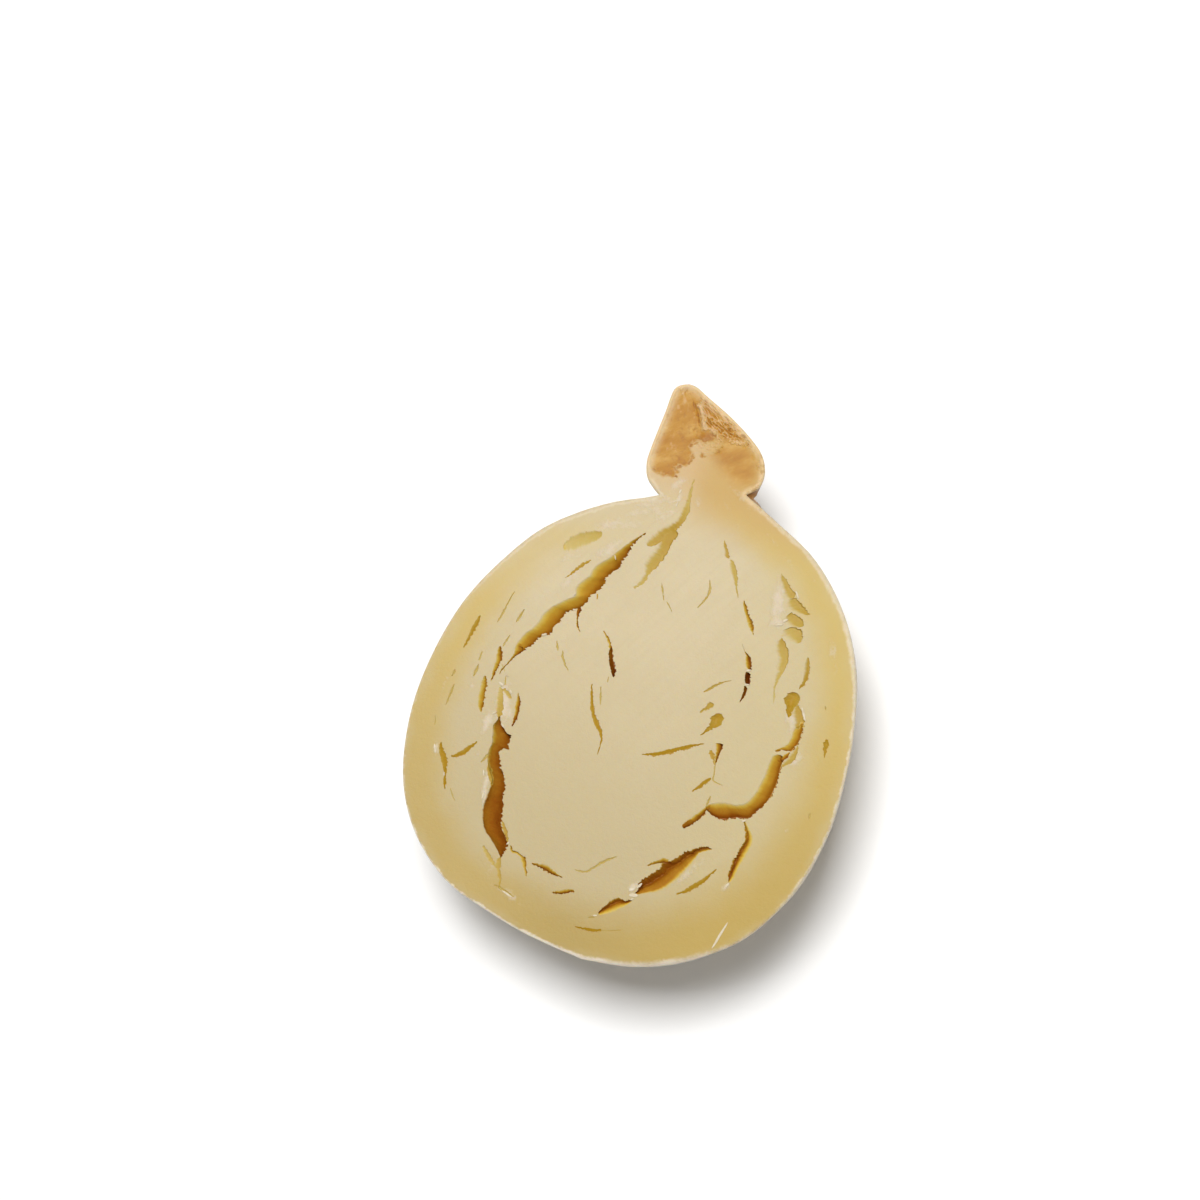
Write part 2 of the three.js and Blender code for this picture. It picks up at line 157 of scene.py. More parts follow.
CRACKS = {
    "upper_left_spur": [
        (-29.4, 14.6, 1.5), (-29.3, 12.4, 0.9), (-29, 10.4, 0.7), (-28.2, 8.6, 0.7), (-26.6, 6.7, 0.25),
    ],
    "upper_left_hole": [
        (-46.4, -3.8, -44.6, -3.6), (-46.5, -5.2, -43.6, -4.8), (-46.2, -6.6, -44.6, -6.4),
        (-45.9, -7.6, -45.5, -7.5),
    ],
    "left_needle": [(-61.7, 2.4, 0.4), (-62.2, -0.4, 1.5), (-62.9, -4.6, 1.4), (-63.9, -10.4, 0.3)],
    "left_blade_upper": [
        (-51.9, -5.8, 0.4), (-51.3, -8.2, 1.8), (-50.8, -10.6, 2), (-50.9, -13.4, 1.5), (-51, -16, 0.8),
        (-51.1, -18.4, 0.25),
    ],
    "left_blade_lower": [
        (-53.7, -17, 0.5), (-53.2, -19.2, 1.7), (-52.8, -22, 2.1), (-52.4, -25, 2), (-51.8, -27.6, 1.6),
        (-50.9, -29.5, 0.4),
    ],
    "left_dark_crack": [
        (-40.8, -19.2, 0.3), (-40, -21.4, 1.2), (-39.5, -23.8, 1.6), (-39, -26.4, 1.5), (-39, -28.8, 0.9),
        (-39.2, -31.2, 0.25),
    ],
    "left_star": [
        (-61.2, -43.2, 0.4), (-60.2, -45.6, 1.6), (-58.4, -48.4, 2.3), (-57.2, -50.6, 1.7),
        (-56.4, -53, 0.8), (-55.6, -55.6, 1.1), (-54.7, -58.5, 0.3),
    ],
    "left_star_arm": [
        (-56.4, -47, 0.5), (-54.6, -46.2, 1.1), (-52.6, -44.4, 1.7), (-50.8, -41.9, 1.2),
        (-49, -39.3, 0.3),
    ],
    "left_hook": [
        (-27, -69.6, 0.4), (-26, -71.2, 0.9), (-24.2, -71.4, 0.8), (-22.4, -72, 1), (-21.2, -73, 1.6),
        (-20.2, -74.8, 1.4), (-19, -77, 0.8), (-18.5, -78.2, 0.25),
    ],
    "right_dark_crack_upper": [
        (27.6, 19.3, 27.8, 19.1), (29, 17.2, 29.4, 17), (30.2, 15.6, 31.6, 15.6),
        (30.8, 13.4, 32.7, 13.6), (31.5, 12, 33.4, 11.8), (32.8, 11.1, 33.5, 10.9),
    ],
    "right_dark_crack_middle": [
        (32, 10.5, 33.4, 10.4), (31.9, 8.8, 34, 8.6), (32.6, 7, 34.4, 6.8), (33.8, 6.2, 34.4, 6),
    ],
    "right_dark_crack_lower": [
        (32.8, 5.7, 33.3, 5.7), (33, 4.2, 34.3, 4.4), (33.1, 2, 34, 2.2), (32.9, 0.4, 33.3, 0.4),
        (33, -0.5, 33.1, -0.5),
    ],
    "right_edge_crack": [
        (50.4, 21.2, 0.4), (51, 19, 1.7), (51.6, 16, 1.9), (51.8, 13.6, 1.6), (51.6, 11.8, 1.1),
        (50.7, 9.8, 0.3),
    ],
    "upper_right_crack": [
        (23.8, 33.5, 0.3), (25, 31.2, 1.1), (26.7, 28.6, 1.1), (28.4, 26.4, 1.6), (29.6, 24.6, 1.1),
        (30.6, 22.9, 0.25),
    ],
    "lower_right_sliver": [
        (42.6, -56, 0.3), (41, -59, 1.1), (39, -61.8, 1.4), (36.8, -64.4, 1.5), (34.4, -66.7, 1),
        (32, -68.4, 0.25),
    ],
    "right_rift_spur": [
        (33.2, -36.8, 34.2, -37.3), (31.1, -40, 32.6, -40.6), (29, -42.7, 31, -43.5),
        (27.4, -44.7, 29.2, -45.4), (27.1, -46.3, 27.6, -46.7),
    ],
    "centre_bar": [
        (6.4, -26.9, 0.25), (10, -25.8, 1), (14, -23.9, 1.4), (18, -21.5, 1.5), (22, -19, 1),
        (25.8, -17.1, 0.25),
    ],
    "centre_left_crack": [
        (-17.3, -8.8, 0.3), (-16.2, -12.5, 0.8), (-15, -16, 1.1), (-13.4, -19.2, 1.5),
        (-11.2, -21.9, 1.4), (-9.2, -24.2, 1.2), (-8.2, -27, 0.6), (-8, -31.6, 0.25),
    ],
    "centre_thin_crack": [
        (-19.3, 9.6, 0.3), (-17.4, 7.9, 0.8), (-16, 6.3, 1), (-15, 4.7, 0.9), (-14.4, 3.5, 0.3),
    ],
    "centre_dark_crack": [
        (-15, 5, 0.5), (-14.3, 2.9, 1.3), (-13.4, 0.6, 1.6), (-12.3, -1.2, 1.8), (-11.4, -3, 1.5),
        (-10.8, -4.8, 0.3),
    ],
    "fork_stem": [
        (29.3, -15.6, 31.8, -15.2), (30, -17.4, 32, -17.4), (30.6, -19.4, 31.7, -19.4),
        (31, -21.6, 31.6, -21.8), (31.3, -23, 31.5, -23),
    ],
    "fork_foot": [(31.7, -27.5, 0.5), (30.2, -29.2, 1.2), (28.6, -31.4, 1.1), (26.7, -34, 0.3)],
    "bottom_bar": [
        (-18.2, -73.3, 0.3), (-15.6, -73.2, 1.2), (-12.8, -73.4, 2), (-10.4, -74, 1.6),
        (-8.2, -74.5, 0.8), (-6.4, -74.5, 0.25),
    ],
    "bottom_chip": [
        (-8.4, -80.5, 0.4), (-6.4, -79.9, 1.1), (-4.2, -78.9, 1.6), (-2.4, -78, 0.9), (-1, -78.1, 0.25),
    ],
    "bottom_sliver": [(2.4, -89, 0.25), (5.4, -88.8, 0.7), (8.4, -88.5, 1.1), (11.8, -87.4, 0.4)],
}
POCKETS = {
    "bottom_rift": [
        (39, -50.1, 39.4, -50.4), (36.8, -50.2, 37.4, -51.4), (34.4, -51.4, 35.4, -53),
        (32.4, -52.8, 34.6, -55), (30.6, -54.2, 33.8, -57), (28.8, -56.4, 32.8, -59.2),
        (26.6, -58.4, 31.8, -61.2), (24.4, -60, 31, -63), (24, -62, 29.6, -65.2),
        (22.2, -64.2, 28, -67.4), (20.4, -66.4, 25.8, -69.4), (18.9, -68.6, 23, -70.8),
        (19.4, -70, 21, -71.8), (18.6, -72.2, 18.9, -72.6),
    ],
    "bottom_pocket": [
        (18.4, -74.6, 18.6, -74.8), (16.2, -75.5, 17.2, -77), (13.8, -75.3, 15.2, -78.8),
        (12, -76.8, 13.2, -80.5), (10.2, -79.4, 11, -82), (8.6, -82.2, 9, -82.9),
    ],
    "right_rift_branch": [
        (46.2, -37.9, 46.8, -37.7), (47.7, -40.6, 49, -40.2), (48.6, -43.2, 50.8, -42.2),
        (48.3, -46.2, 51.2, -45.2), (47.6, -49.2, 50.5, -49.2), (46.9, -52.8, 49.5, -53.4),
        (46.8, -55.9, 49.1, -56.9), (47.5, -59, 47.9, -59.5),
    ],
}
TEARS = {
    "neck_tear": [
        (-5.4, 68.6, -4.9, 68.6), (-5.7, 64, -4.7, 64), (-5.8, 60.4, -4, 60.2), (-6, 57, -3.5, 56.4),
        (-6.6, 53.8, -4, 53), (-8.6, 51.2, -5.8, 50.2), (-11, 48.8, -4.7, 48.4), (-11.6, 46, -5.4, 46),
        (-10.6, 43.4, -6, 43), (-11.2, 41, -6.6, 40), (-12.4, 38, -7.6, 37.4), (-12.9, 35.4, -8.4, 35.2),
        (-12, 33.2, -9.8, 33), (-12.4, 30.6, -10.2, 30.6), (-13, 28.4, -11.4, 28.2),
        (-13.9, 26.4, -13.4, 26.2),
    ],
    "neck_limb": [
        (-10, 49.6, -7.2, 48), (-12, 47.8, -8.6, 45.6), (-13.4, 46, -9.8, 43.8), (-14.2, 44.2, -11, 42.9),
        (-14.3, 42.6, -12.8, 42), (-14, 41.7, -13.8, 41.6),
    ],
    "upper_left_pit": [
        (-41.2, 32.2, -41.8, 33.2), (-38.6, 32.4, -40.4, 36.6), (-35.6, 34.4, -38.2, 38.8),
        (-33, 36.8, -35, 40.6), (-30.8, 39, -32, 41.8), (-29.6, 40.6, -29.8, 42),
    ],
    "upper_left_sliver": [
        (-30.6, 31.8, 0.25), (-32.4, 29.8, 0.9), (-34.4, 27.6, 1.1), (-37.6, 22.8, 0.25),
    ],
    "upper_right_chip": [
        (11, 51.4, 11.2, 51.3), (11.4, 49.4, 12.9, 49.1), (12.3, 47, 14.4, 46.6),
        (13.2, 45.5, 14.6, 45.4),
    ],
    "upper_right_tear": [
        (15, 45.7, 15.6, 45.6), (15, 43.8, 17.8, 43.6), (16.4, 41.4, 19, 40.9), (18.2, 39, 20, 38.4),
        (20, 36.2, 20.8, 36), (21.7, 33.4, 21.9, 33.3),
    ],
    "flake_top": [
        (33, 46, 33.4, 45.8), (33.8, 43.4, 35.6, 44.2), (35, 41.2, 37.6, 42.4), (36.2, 39.4, 39.4, 41),
        (37.4, 38.2, 40.3, 39.9), (38.6, 38, 39.8, 38.8),
    ],
    "flake_upper": [
        (38, 38, 40.2, 39.4), (38.2, 36, 42, 38.3), (40, 34.8, 44, 37.2), (43, 34.5, 45.6, 36),
        (46.2, 34.6, 46.8, 35),
    ],
    "flake_middle": [
        (39.2, 32.6, 40.2, 34.1), (39.4, 30.8, 42, 33.8), (40.6, 29.8, 43.8, 33.3),
        (42.4, 29.4, 45.2, 32.5), (44, 29.6, 46, 31.2), (45.2, 30, 45.6, 30.4),
    ],
    "flake_lower": [
        (39.6, 27.6, 42, 29.6), (39.8, 26, 44.2, 29.6), (41, 25.2, 45.7, 29.3), (43, 24.6, 46.5, 27.8),
        (45, 24.5, 46.9, 26.2), (46.2, 24.6, 46.6, 25),
    ],
    "right_trough": [
        (39.4, 25.1, 39.9, 25), (38.8, 22, 42.4, 23), (39.6, 19.8, 43.8, 20.4), (41, 16.6, 44.6, 17.4),
        (41.8, 13.4, 44.1, 14), (42.1, 10.4, 43.3, 10.6), (42.3, 8, 43, 8), (43, 5.4, 43.8, 5.2),
        (44, 2.4, 44.2, 2.3),
    ],
    "right_pit": [
        (49.4, 8.6, 50.6, 8.6), (47.9, 7.6, 51.9, 7.7), (47.2, 6.2, 52.4, 6.3), (47.3, 4.8, 52.1, 4.9),
        (48.4, 3, 51.2, 3), (49.4, 1, 50.8, 0.8), (50.3, -0.5, 50.5, -0.5),
    ],
    "right_hollow": [
        (51, 4.4, 52.2, 4.8), (51, 1.8, 54.4, 2.6), (52.2, -0.8, 55.8, 0), (53.4, -3, 56, -2.2),
        (54.2, -4.2, 55.2, -4),
    ],
    "right_flap": [
        (56, -8.4, 56.4, -8.4), (55, -11.4, 57, -11.4), (53.8, -14.2, 56.2, -14), (52.9, -17, 53.6, -17),
    ],
    "round_pit": [
        (27, -5.8, 28, -5.6), (25.8, -7, 29.3, -6.6), (25.2, -8.3, 29.6, -8), (25.4, -9.4, 29, -9.8),
        (25.3, -10.8, 27.2, -11.4), (24.5, -12.6, 25.6, -13), (23.4, -15, 23.6, -15.1),
    ],
    "club_pit": [
        (23.2, -2.8, 24.6, -3), (22.7, -3.9, 24.9, -4.3), (22.3, -5, 23.9, -5.5),
        (21.6, -6.2, 22.4, -6.6), (20.9, -7.7, 21.2, -7.8),
    ],
    "edge_pit": [
        (64.4, -3.4, 65.4, -3.4), (64.2, -5.4, 66.2, -5.4), (64.8, -7.4, 66, -7.4),
        (65.9, -10, 66.1, -10.1),
    ],
    "left_tear": [
        (-47.9, -19.2, -47, -19), (-48, -21.6, -45.4, -21.2), (-47.2, -24.6, -44.6, -24.4),
        (-46.4, -27.4, -43.8, -27.6), (-45, -29.6, -43.9, -29.8),
    ],
    "lower_left_tear": [
        (-36.2, -72.6, 0.5), (-34.6, -74, 1.7), (-32.4, -76, 1.7), (-30, -77.8, 0.8), (-28.8, -78.6, 0.3),
    ],
    "left_tear_top": [(-46.2, -19.4, 0.5), (-45, -20.4, 1.6), (-43.4, -21.4, 1.5), (-42.2, -22.2, 0.3)],
    "left_rift_ledge": [
        (-32.6, -62.6, -32.2, -62.4), (-31.6, -64.8, -30.4, -64.4), (-29.9, -67, -28.8, -66.6),
        (-28.2, -69.4, -27.7, -69.2),
    ],
    "left_rift_shelf": [(-43, -45.6, 0.4), (-42, -48, 1.6), (-40.7, -50, 1), (-40, -51.6, 0.3)],
    "left_tail": [
        (-29.4, -74.4, -28.6, -74.3), (-30.2, -77, -28.2, -76.6), (-29.2, -78.8, -27.6, -78.6),
        (-27.4, -81.4, -26.4, -81.2), (-26.4, -84.2, -26.1, -84.2),
    ],
    "fork_arm": [
        (28, -18.6, 28.4, -18.4), (28.7, -20.4, 30.4, -19.8), (30.2, -22, 31.2, -21.6),
        (31.4, -23.4, 31.6, -23.3),
    ],
}
HAIRS = {
    "hair_1": [(-49.6, -1, 0.3), (-50.4, -4, 0.6), (-50.8, -6, 0.25)],
    "hair_2": [(-52.8, 13.8, 0.25), (-53.9, 9, 0.45), (-54.6, 4.6, 0.6), (-55.4, 1.4, 0.25)],
    "hair_3": [(-47.7, 8.8, 0.4), (-48.2, 6.6, 0.9), (-49.1, 3.4, 0.25)],
    "hair_4": [(-57.2, -9.2, 0.25), (-57.3, -11, 0.7), (-57.3, -13, 0.25)],
    "hair_5": [(-57.1, -13.8, 0.3), (-57.2, -16.2, 1.1), (-57.5, -18.8, 0.25)],
    "hair_6": [(-64.2, -17.8, 0.25), (-64.4, -19.4, 0.9), (-64.8, -20.9, 0.25)],
    "hair_7": [(-62.9, -22.8, 0.25), (-63.2, -26, 0.8), (-63.6, -31, 0.25)],
    "hair_8": [(-66, -34.8, 0.25), (-65.4, -37, 0.5), (-65, -38.7, 0.25)],
    "hair_9": [(-53.1, -57.3, 0.25), (-51.6, -59.4, 0.5), (-49.9, -61.2, 0.25)],
    "hair_10": [(-25.1, 21.2, 0.25), (-24.8, 20.2, 0.5), (-24.5, 19, 0.25)],
    "hair_11": [(-5.1, 31.1, 0.25), (-4, 28.8, 0.6), (-2.9, 26.4, 0.5), (-2.2, 25.4, 0.25)],
    "hair_12": [(-1.6, 25.5, 0.25), (-0.2, 24.2, 0.5), (1.6, 22.3, 0.25)],
    "hair_13": [(10.4, 37, 0.25), (11.6, 33, 0.7), (10.9, 29.4, 0.7), (9.2, 26.2, 0.25)],
    "hair_14": [
        (20.1, -0.7, 0.3), (21.8, 1.2, 0.8), (23.8, 3.2, 0.8), (25.6, 4.6, 0.4), (28.2, 6.1, 0.2),
    ],
    "hair_15": [(-33.6, 1.8, 0.25), (-32.8, 0, 0.6), (-31.9, -1.8, 0.25)],
    "hair_16": [(-30.6, -0.9, 0.25), (-29.8, -3.2, 0.7), (-28.2, -5.4, 0.6), (-26.4, -7.2, 0.25)],
    "hair_17": [(-12.6, -4.8, 0.2), (-12.4, -6, 0.45), (-12.2, -7.2, 0.2)],
    "hair_18": [(-14.1, -8.8, 0.25), (-13, -12.5, 0.6), (-12.2, -15.2, 0.25)],
    "hair_19": [
        (-3.6, -70.8, 0.25), (-0.2, -70.6, 0.7), (2, -69, 0.7), (4, -66.5, 0.8), (6.2, -64.4, 0.8),
        (9.2, -62.3, 0.25),
    ],
    "hair_20": [(5.9, -84.8, 0.25), (7, -84.4, 0.7), (8.2, -84.2, 0.25)],
    "hair_21": [(11.4, -87.6, 0.25), (14.6, -86.6, 0.35), (18.2, -85.4, 0.2)],
    "hair_22": [(-28.4, -84, 0.3), (-25, -84.6, 0.9), (-20, -86, 0.25)],
    "bottom_rift_spur": [
        (26.4, -58.8, 1.6), (24.6, -58.9, 1.7), (22.8, -59.9, 1.1), (21, -61.2, 0.7), (19.7, -62.2, 0.25),
    ],
    "hair_23": [(33.2, -33.2, 0.25), (33, -35, 0.8), (32.8, -37, 0.5)],
    "hair_24": [(31.3, -22.6, 0.4), (32, -26, 0.5), (32.6, -28.2, 0.4), (36.2, -28.8, 0.25)],
    "hair_25": [(60.9, 7.2, 0.25), (61.3, 6.4, 0.5), (61.8, 5.6, 0.25)],
    "hair_26": [(67, -28.8, 0.25), (67.1, -30, 0.6), (67.3, -31.2, 0.25)],
    "hair_27": [(-46.6, -14.8, 0.25), (-46.3, -16.6, 0.5), (-45.9, -18.4, 0.25)],
    "hair_28": [(-45.7, -46, 0.25), (-44.9, -44.2, 0.9), (-44, -42.4, 0.6)],
    "hair_29": [(-49.4, -11.4, 0.25), (-48.4, -12.6, 0.4), (-47.4, -14, 0.2)],
}
SPLIT_SPANS = 12
SPLIT_STEP = 0.3
DEPTH_FOLLOWS_WIDTH = 0.6
NARROWEST = 0.2
CLEAR_ABOVE = 0.5
# How far the lips may tear, in half widths, and how far the walls bulge
MOST_TORN = 0.9
WALL_LUMP = 0.35
# Blades that are cut out together have this gap between them, with each half width taken so many times
BLADE_GAP = 1.2
BLADE_MARGIN = 1.6

# Walls of each kind of split, from the cut face down, as (depth, far side, near side): the depth in widths,
# the sides in half widths from the middle
RIFT_WALLS = [
    (0, -1.1, 1.02), (0.02, -1, 1), (0.07, -0.84, 0.99), (0.15, -0.55, 0.98), (0.25, -0.2, 0.96),
    (0.34, 0.15, 0.94), (0.44, 0.45, 0.92), (0.54, 0.64, 0.89), (0.62, 0.76, 0.86),
]
STEEP_WALLS = [
    (0, -1.05, 1.03), (0.02, -1, 1), (0.12, -0.9, 0.99), (0.26, -0.74, 0.98), (0.4, -0.5, 0.96),
    (0.54, -0.15, 0.94), (0.68, 0.2, 0.91), (0.84, 0.5, 0.86), (0.96, 0.66, 0.8),
]
CRACK_WALLS = [
    (0, -1.14, 1.05), (0.03, -1, 1), (0.1, -0.8, 0.98), (0.23, -0.48, 0.96), (0.4, -0.1, 0.94),
    (0.6, 0.26, 0.91), (0.82, 0.52, 0.87), (1, 0.64, 0.8),
]
LIT_WALLS = [
    (0, -1.1, 1.05), (0.02, -1, 1), (0.07, -0.8, 0.98), (0.14, -0.48, 0.95), (0.22, -0.1, 0.92),
    (0.3, 0.26, 0.88), (0.38, 0.5, 0.82),
]
DARK_WALLS = [
    (0, -1.06, 1.04), (0.06, -1, 1), (0.4, -0.9, 0.97), (0.9, -0.6, 0.92), (1.4, -0.1, 0.84),
    (1.8, 0.2, 0.6),
]
POCKET_WALLS = [
    (0, -1.02, 1.12), (0.015, -1, 1), (0.05, -0.97, 0.8), (0.1, -0.92, 0.52), (0.17, -0.86, 0.26),
    (0.26, -0.78, 0.02), (0.38, -0.68, -0.14), (0.5, -0.56, -0.28), (0.6, -0.43, -0.41),
]
TEAR_WALLS = [
    (0, -1.15, 1.03), (0.005, -1, 1), (0.03, -0.72, 0.98), (0.07, -0.36, 0.95), (0.11, 0.02, 0.9),
    (0.15, 0.4, 0.82),
]
PIT_WALLS = [
    (0, -1.05, 1.05), (0.02, -0.98, 0.99), (0.08, -0.86, 0.84), (0.15, -0.64, 0.6), (0.21, -0.34, 0.3),
    (0.24, -0.1, 0.06),
]
SOFT_WALLS = [
    (0, -1.05, 1.06), (0.01, -0.97, 0.99), (0.04, -0.7, 0.88), (0.07, -0.3, 0.72), (0.09, 0.1, 0.5),
]
HAIR_WALLS = [(0, -1.2, 1.1), (0.08, -1, 1), (0.28, -0.5, 0.8), (0.5, 0, 0.4)]
# Kinds of split: their walls, how ragged the far and near edges are, and how brown their walls are painted
# from
# start to end: from 0 to 1 as painted shade, from 0 to -1 as lit colour where light reaches
KINDS = [
    dict(splits=RIFTS, walls=RIFT_WALLS, ragged=(0.2, 0.8), tone=(0.4, 0.4)),
    dict(splits=CRACKS, walls=CRACK_WALLS, ragged=(0.25, 0.5), tone=(0.3, 0.3)),
    dict(splits=POCKETS, walls=POCKET_WALLS, ragged=(0.5, 0.15), tone=(0.3, 0.3)),
    dict(splits=TEARS, walls=TEAR_WALLS, ragged=(0.45, 0.45), tone=(-0.4, -0.4)),
    dict(splits=HAIRS, walls=HAIR_WALLS, ragged=(0.25, 0.25), tone=(-0.15, -0.15)),
]
# Splits whose walls or tone aren't those of their kind
OTHER_WALLS = {
    "left_rift": STEEP_WALLS, "centre_dark_crack": DARK_WALLS, "right_dark_crack_middle": DARK_WALLS,
    "right_dark_crack_lower": DARK_WALLS, "right_pit": PIT_WALLS, "round_pit": PIT_WALLS,
    "club_pit": PIT_WALLS, "edge_pit": PIT_WALLS, "upper_left_pit": SOFT_WALLS,
    "right_edge_crack": LIT_WALLS, "left_star": LIT_WALLS, "bottom_rift_spur": CRACK_WALLS,
    "left_star_arm": LIT_WALLS, "centre_bar": LIT_WALLS, "fork_foot": LIT_WALLS,
    "lower_right_sliver": LIT_WALLS, "centre_left_crack": LIT_WALLS, "bottom_sliver": LIT_WALLS,
    "left_needle": LIT_WALLS,
}
# Tones that paint the splits' shade, and their lit colour where light reaches
TONES = {
    "left_rift": (0.56, 0.7, 0.8, 0.8), "upper_left_rift": (0.56, 0.44, 0.46, 0.5),
    "right_rift": (0.44, 0.48, 0.52, 0.58, 0.62), "left_dark_crack": (0.35, 0.9),
    "right_dark_crack_upper": (0.5, 0.7), "right_dark_crack_middle": (0.9, 0.9),
    "right_dark_crack_lower": (0.8, 0.7), "centre_dark_crack": (0.7, 0.95), "right_rift_spur": (0.6, 0.8),
    "right_rift_sliver": (0.56, 0.56), "fork_stem": (0.62, 0.5), "upper_left_hole": (0.6, 0.6),
    "upper_left_spur": (0.9, 0.7, 0.6), "bottom_bar": (0.5, 0.5), "bottom_chip": (0.55, 0.5),
    "bottom_rift": (0.72, 0.76), "bottom_rift_spur": (0.6, 0.25), "bottom_pocket": (0.64, 0.62),
    "right_rift_branch": (0.2, 0.48, 0.64, 0.5), "lower_right_sliver": (-0.8, -0.7),
    "centre_bar": (-0.85, -0.85), "centre_left_crack": (-0.75, -0.75), "right_edge_crack": (-0.5, -0.64),
    "left_blade_upper": (0.46, 0.46), "left_blade_lower": (0.22, 0.34), "left_star": (-0.8, -0.85),
    "left_star_arm": (-0.75, -0.75), "fork_foot": (-0.8, -0.8), "bottom_sliver": (-0.85, -0.9),
    "left_needle": (-0.7, -0.7), "hair_10": (0.3, 0.3), "right_pit": (-0.6, -0.72),
    "right_hollow": (-0.5, -0.6), "round_pit": (-0.62, -0.75), "club_pit": (-0.5, -0.5),
    "edge_pit": (-0.7, -0.7), "neck_tear": (-0.15, -0.22, -0.56, -0.5, -0.35, -0.05),
    "neck_limb": (-0.56, -0.45), "right_trough": (-0.5, -0.04), "left_tear": (-0.1, -0.5),
    "upper_left_sliver": (-0.7, -0.7), "hair_14": (-0.4, -0.4), "flake_lower": (-0.25, -0.3),
    "left_tear_top": (-0.3, -0.3), "fork_arm": (-0.7, -0.7), "left_rift_ledge": (-0.6, -0.6),
    "left_rift_shelf": (-0.6, -0.6), "upper_left_pit": (-0.01, -0.26), "upper_right_chip": (-0.5, -0.5),
    "upper_right_tear": (-0.3, -0.3), "lower_left_tear": (-0.3, -0.3),
}
# A split's tone is painted this far from its middle: so many half widths and a margin, within a reach
TONE_SHARE = 1.4
TONE_MARGIN = 0.7
TONE_REACH = 7
# Depths under the cut face that are a split's wall, and the width of the rim that has no splits
SHALLOWEST_WALL = 0.01
DEEPEST_WALL = 45
SOUND_RIM = 1.5

# Torn places of the head's cut face
LEFT_PATCH = [
    (-24, 70), (-20, 67.2), (-16, 66.6), (-12.4, 67.2), (-11.4, 69.4), (-13.4, 70.6), (-11.6, 71.6),
    (-9.6, 72), (-8.2, 74.6), (-8.8, 77), (-10.2, 79), (-9.4, 80.6), (-7, 82.4), (-7.4, 85.2), (-9, 88.4),
    (-10.4, 91.4), (-11.6, 94), (-9, 100), (-18, 102), (-24, 98), (-26, 80),
]
RIGHT_PATCH = [
    (-0.5, 86), (2, 86), (9, 85), (12, 82), (14, 76), (13.5, 72.5), (9, 72), (5, 74), (2, 76.5),
    (-0.5, 79),
]
ROUGH_BAND = [
    (-11.4, 97), (-7, 97.6), (2, 94), (11, 89.4), (15.6, 85), (19, 80.5), (18.6, 76), (15.2, 77.2),
    (12.4, 81), (9.6, 84.2), (4, 84.8), (1, 85.2), (-2, 86.2), (-5, 86.2), (-7.2, 88.2), (-9.2, 91.4),
]
TONGUE = [
    (-9.4, 79.8), (-7, 81.6), (-3.2, 82.5), (-1.8, 84.4), (0.2, 84.6), (0.5, 82.2), (-0.3, 80),
    (-1.4, 79), (-3, 77.8), (-4.9, 77), (-6.2, 78.4), (-8, 78.8),
]
# A hollow of the head, painted brown as its shadow
HOLLOW_SHADOW = [(-10.6, 85.4), (-8.8, 82.6), (-6, 81.8), (-3, 83), (-2.4, 84.4), (-5, 85.6), (-8, 86)]
# Lines of the head as places along them and a half width: pale torn edges, and creases painted brown as
# shadow
PALE_EDGES = [
    ([(-11.4, 94), (-10, 91.2), (-8.8, 89), (-7.6, 87.2), (-6.2, 86)], 0.55),
    ([(-1.8, 84.8), (-0.2, 85.1), (0.4, 84.2)], 0.45), ([(-18.8, 97.4), (-18, 96)], 0.6),
    ([(-6, 86.6), (-3.6, 86.2)], 0.5), ([(3, 84.6), (5, 85), (7, 84.5), (9.4, 84.8)], 0.2),
]
CREASE_SHADOWS = [
    ([(-10.4, 84.8), (-8.6, 83.2), (-6.4, 82.4), (-3.4, 83.2)], 0.6),
    ([(-7.4, 85.4), (-5, 85.3), (-3, 84.8)], 0.35), ([(1, 83.4), (0.8, 81.6)], 0.3),
    ([(-5.2, 77.2), (-4.2, 76.7), (-3.4, 77)], 0.35), ([(-1.6, 78.6), (-0.8, 79), (-0.2, 80.2)], 0.4),
    ([(-10, 79.4), (-8.8, 80.2), (-8, 81)], 0.45), ([(-8.4, 76.4), (-8.2, 74.6), (-9, 73)], 0.35),
    ([(-14, 70.4), (-12.6, 70.2), (-11.4, 71)], 0.3), ([(-19.6, 67.6), (-18.4, 67)], 0.3),
    ([(-17.9, 97.4), (-17.3, 95.9)], 0.35), ([(-13.4, 93.4), (-12.4, 92)], 0.25),
    ([(-12.6, 67.4), (-11.6, 67.6)], 0.25), ([(-11.6, 91.6), (-9.9, 88.6), (-8.6, 86.6)], 0.3),
]
# The rough band's fibres: which way they run, their length in widths, and where they grow calm
BAND_RUN = np.array((0.914, -0.406))
BAND_FIBRE = 3
BAND_CALM_X = (8, 12.5)
# How far the torn places stand out of the cut face or lie under it
BAND_HEIGHT = 0.6
BAND_SINK = 0.3
LEFT_SINK = 0.45
RIGHT_SINK = 0.2
TONGUE_HEIGHT = 0.1
PALE_HEIGHT = 0.5
SHADOWED_SINK = 0.5

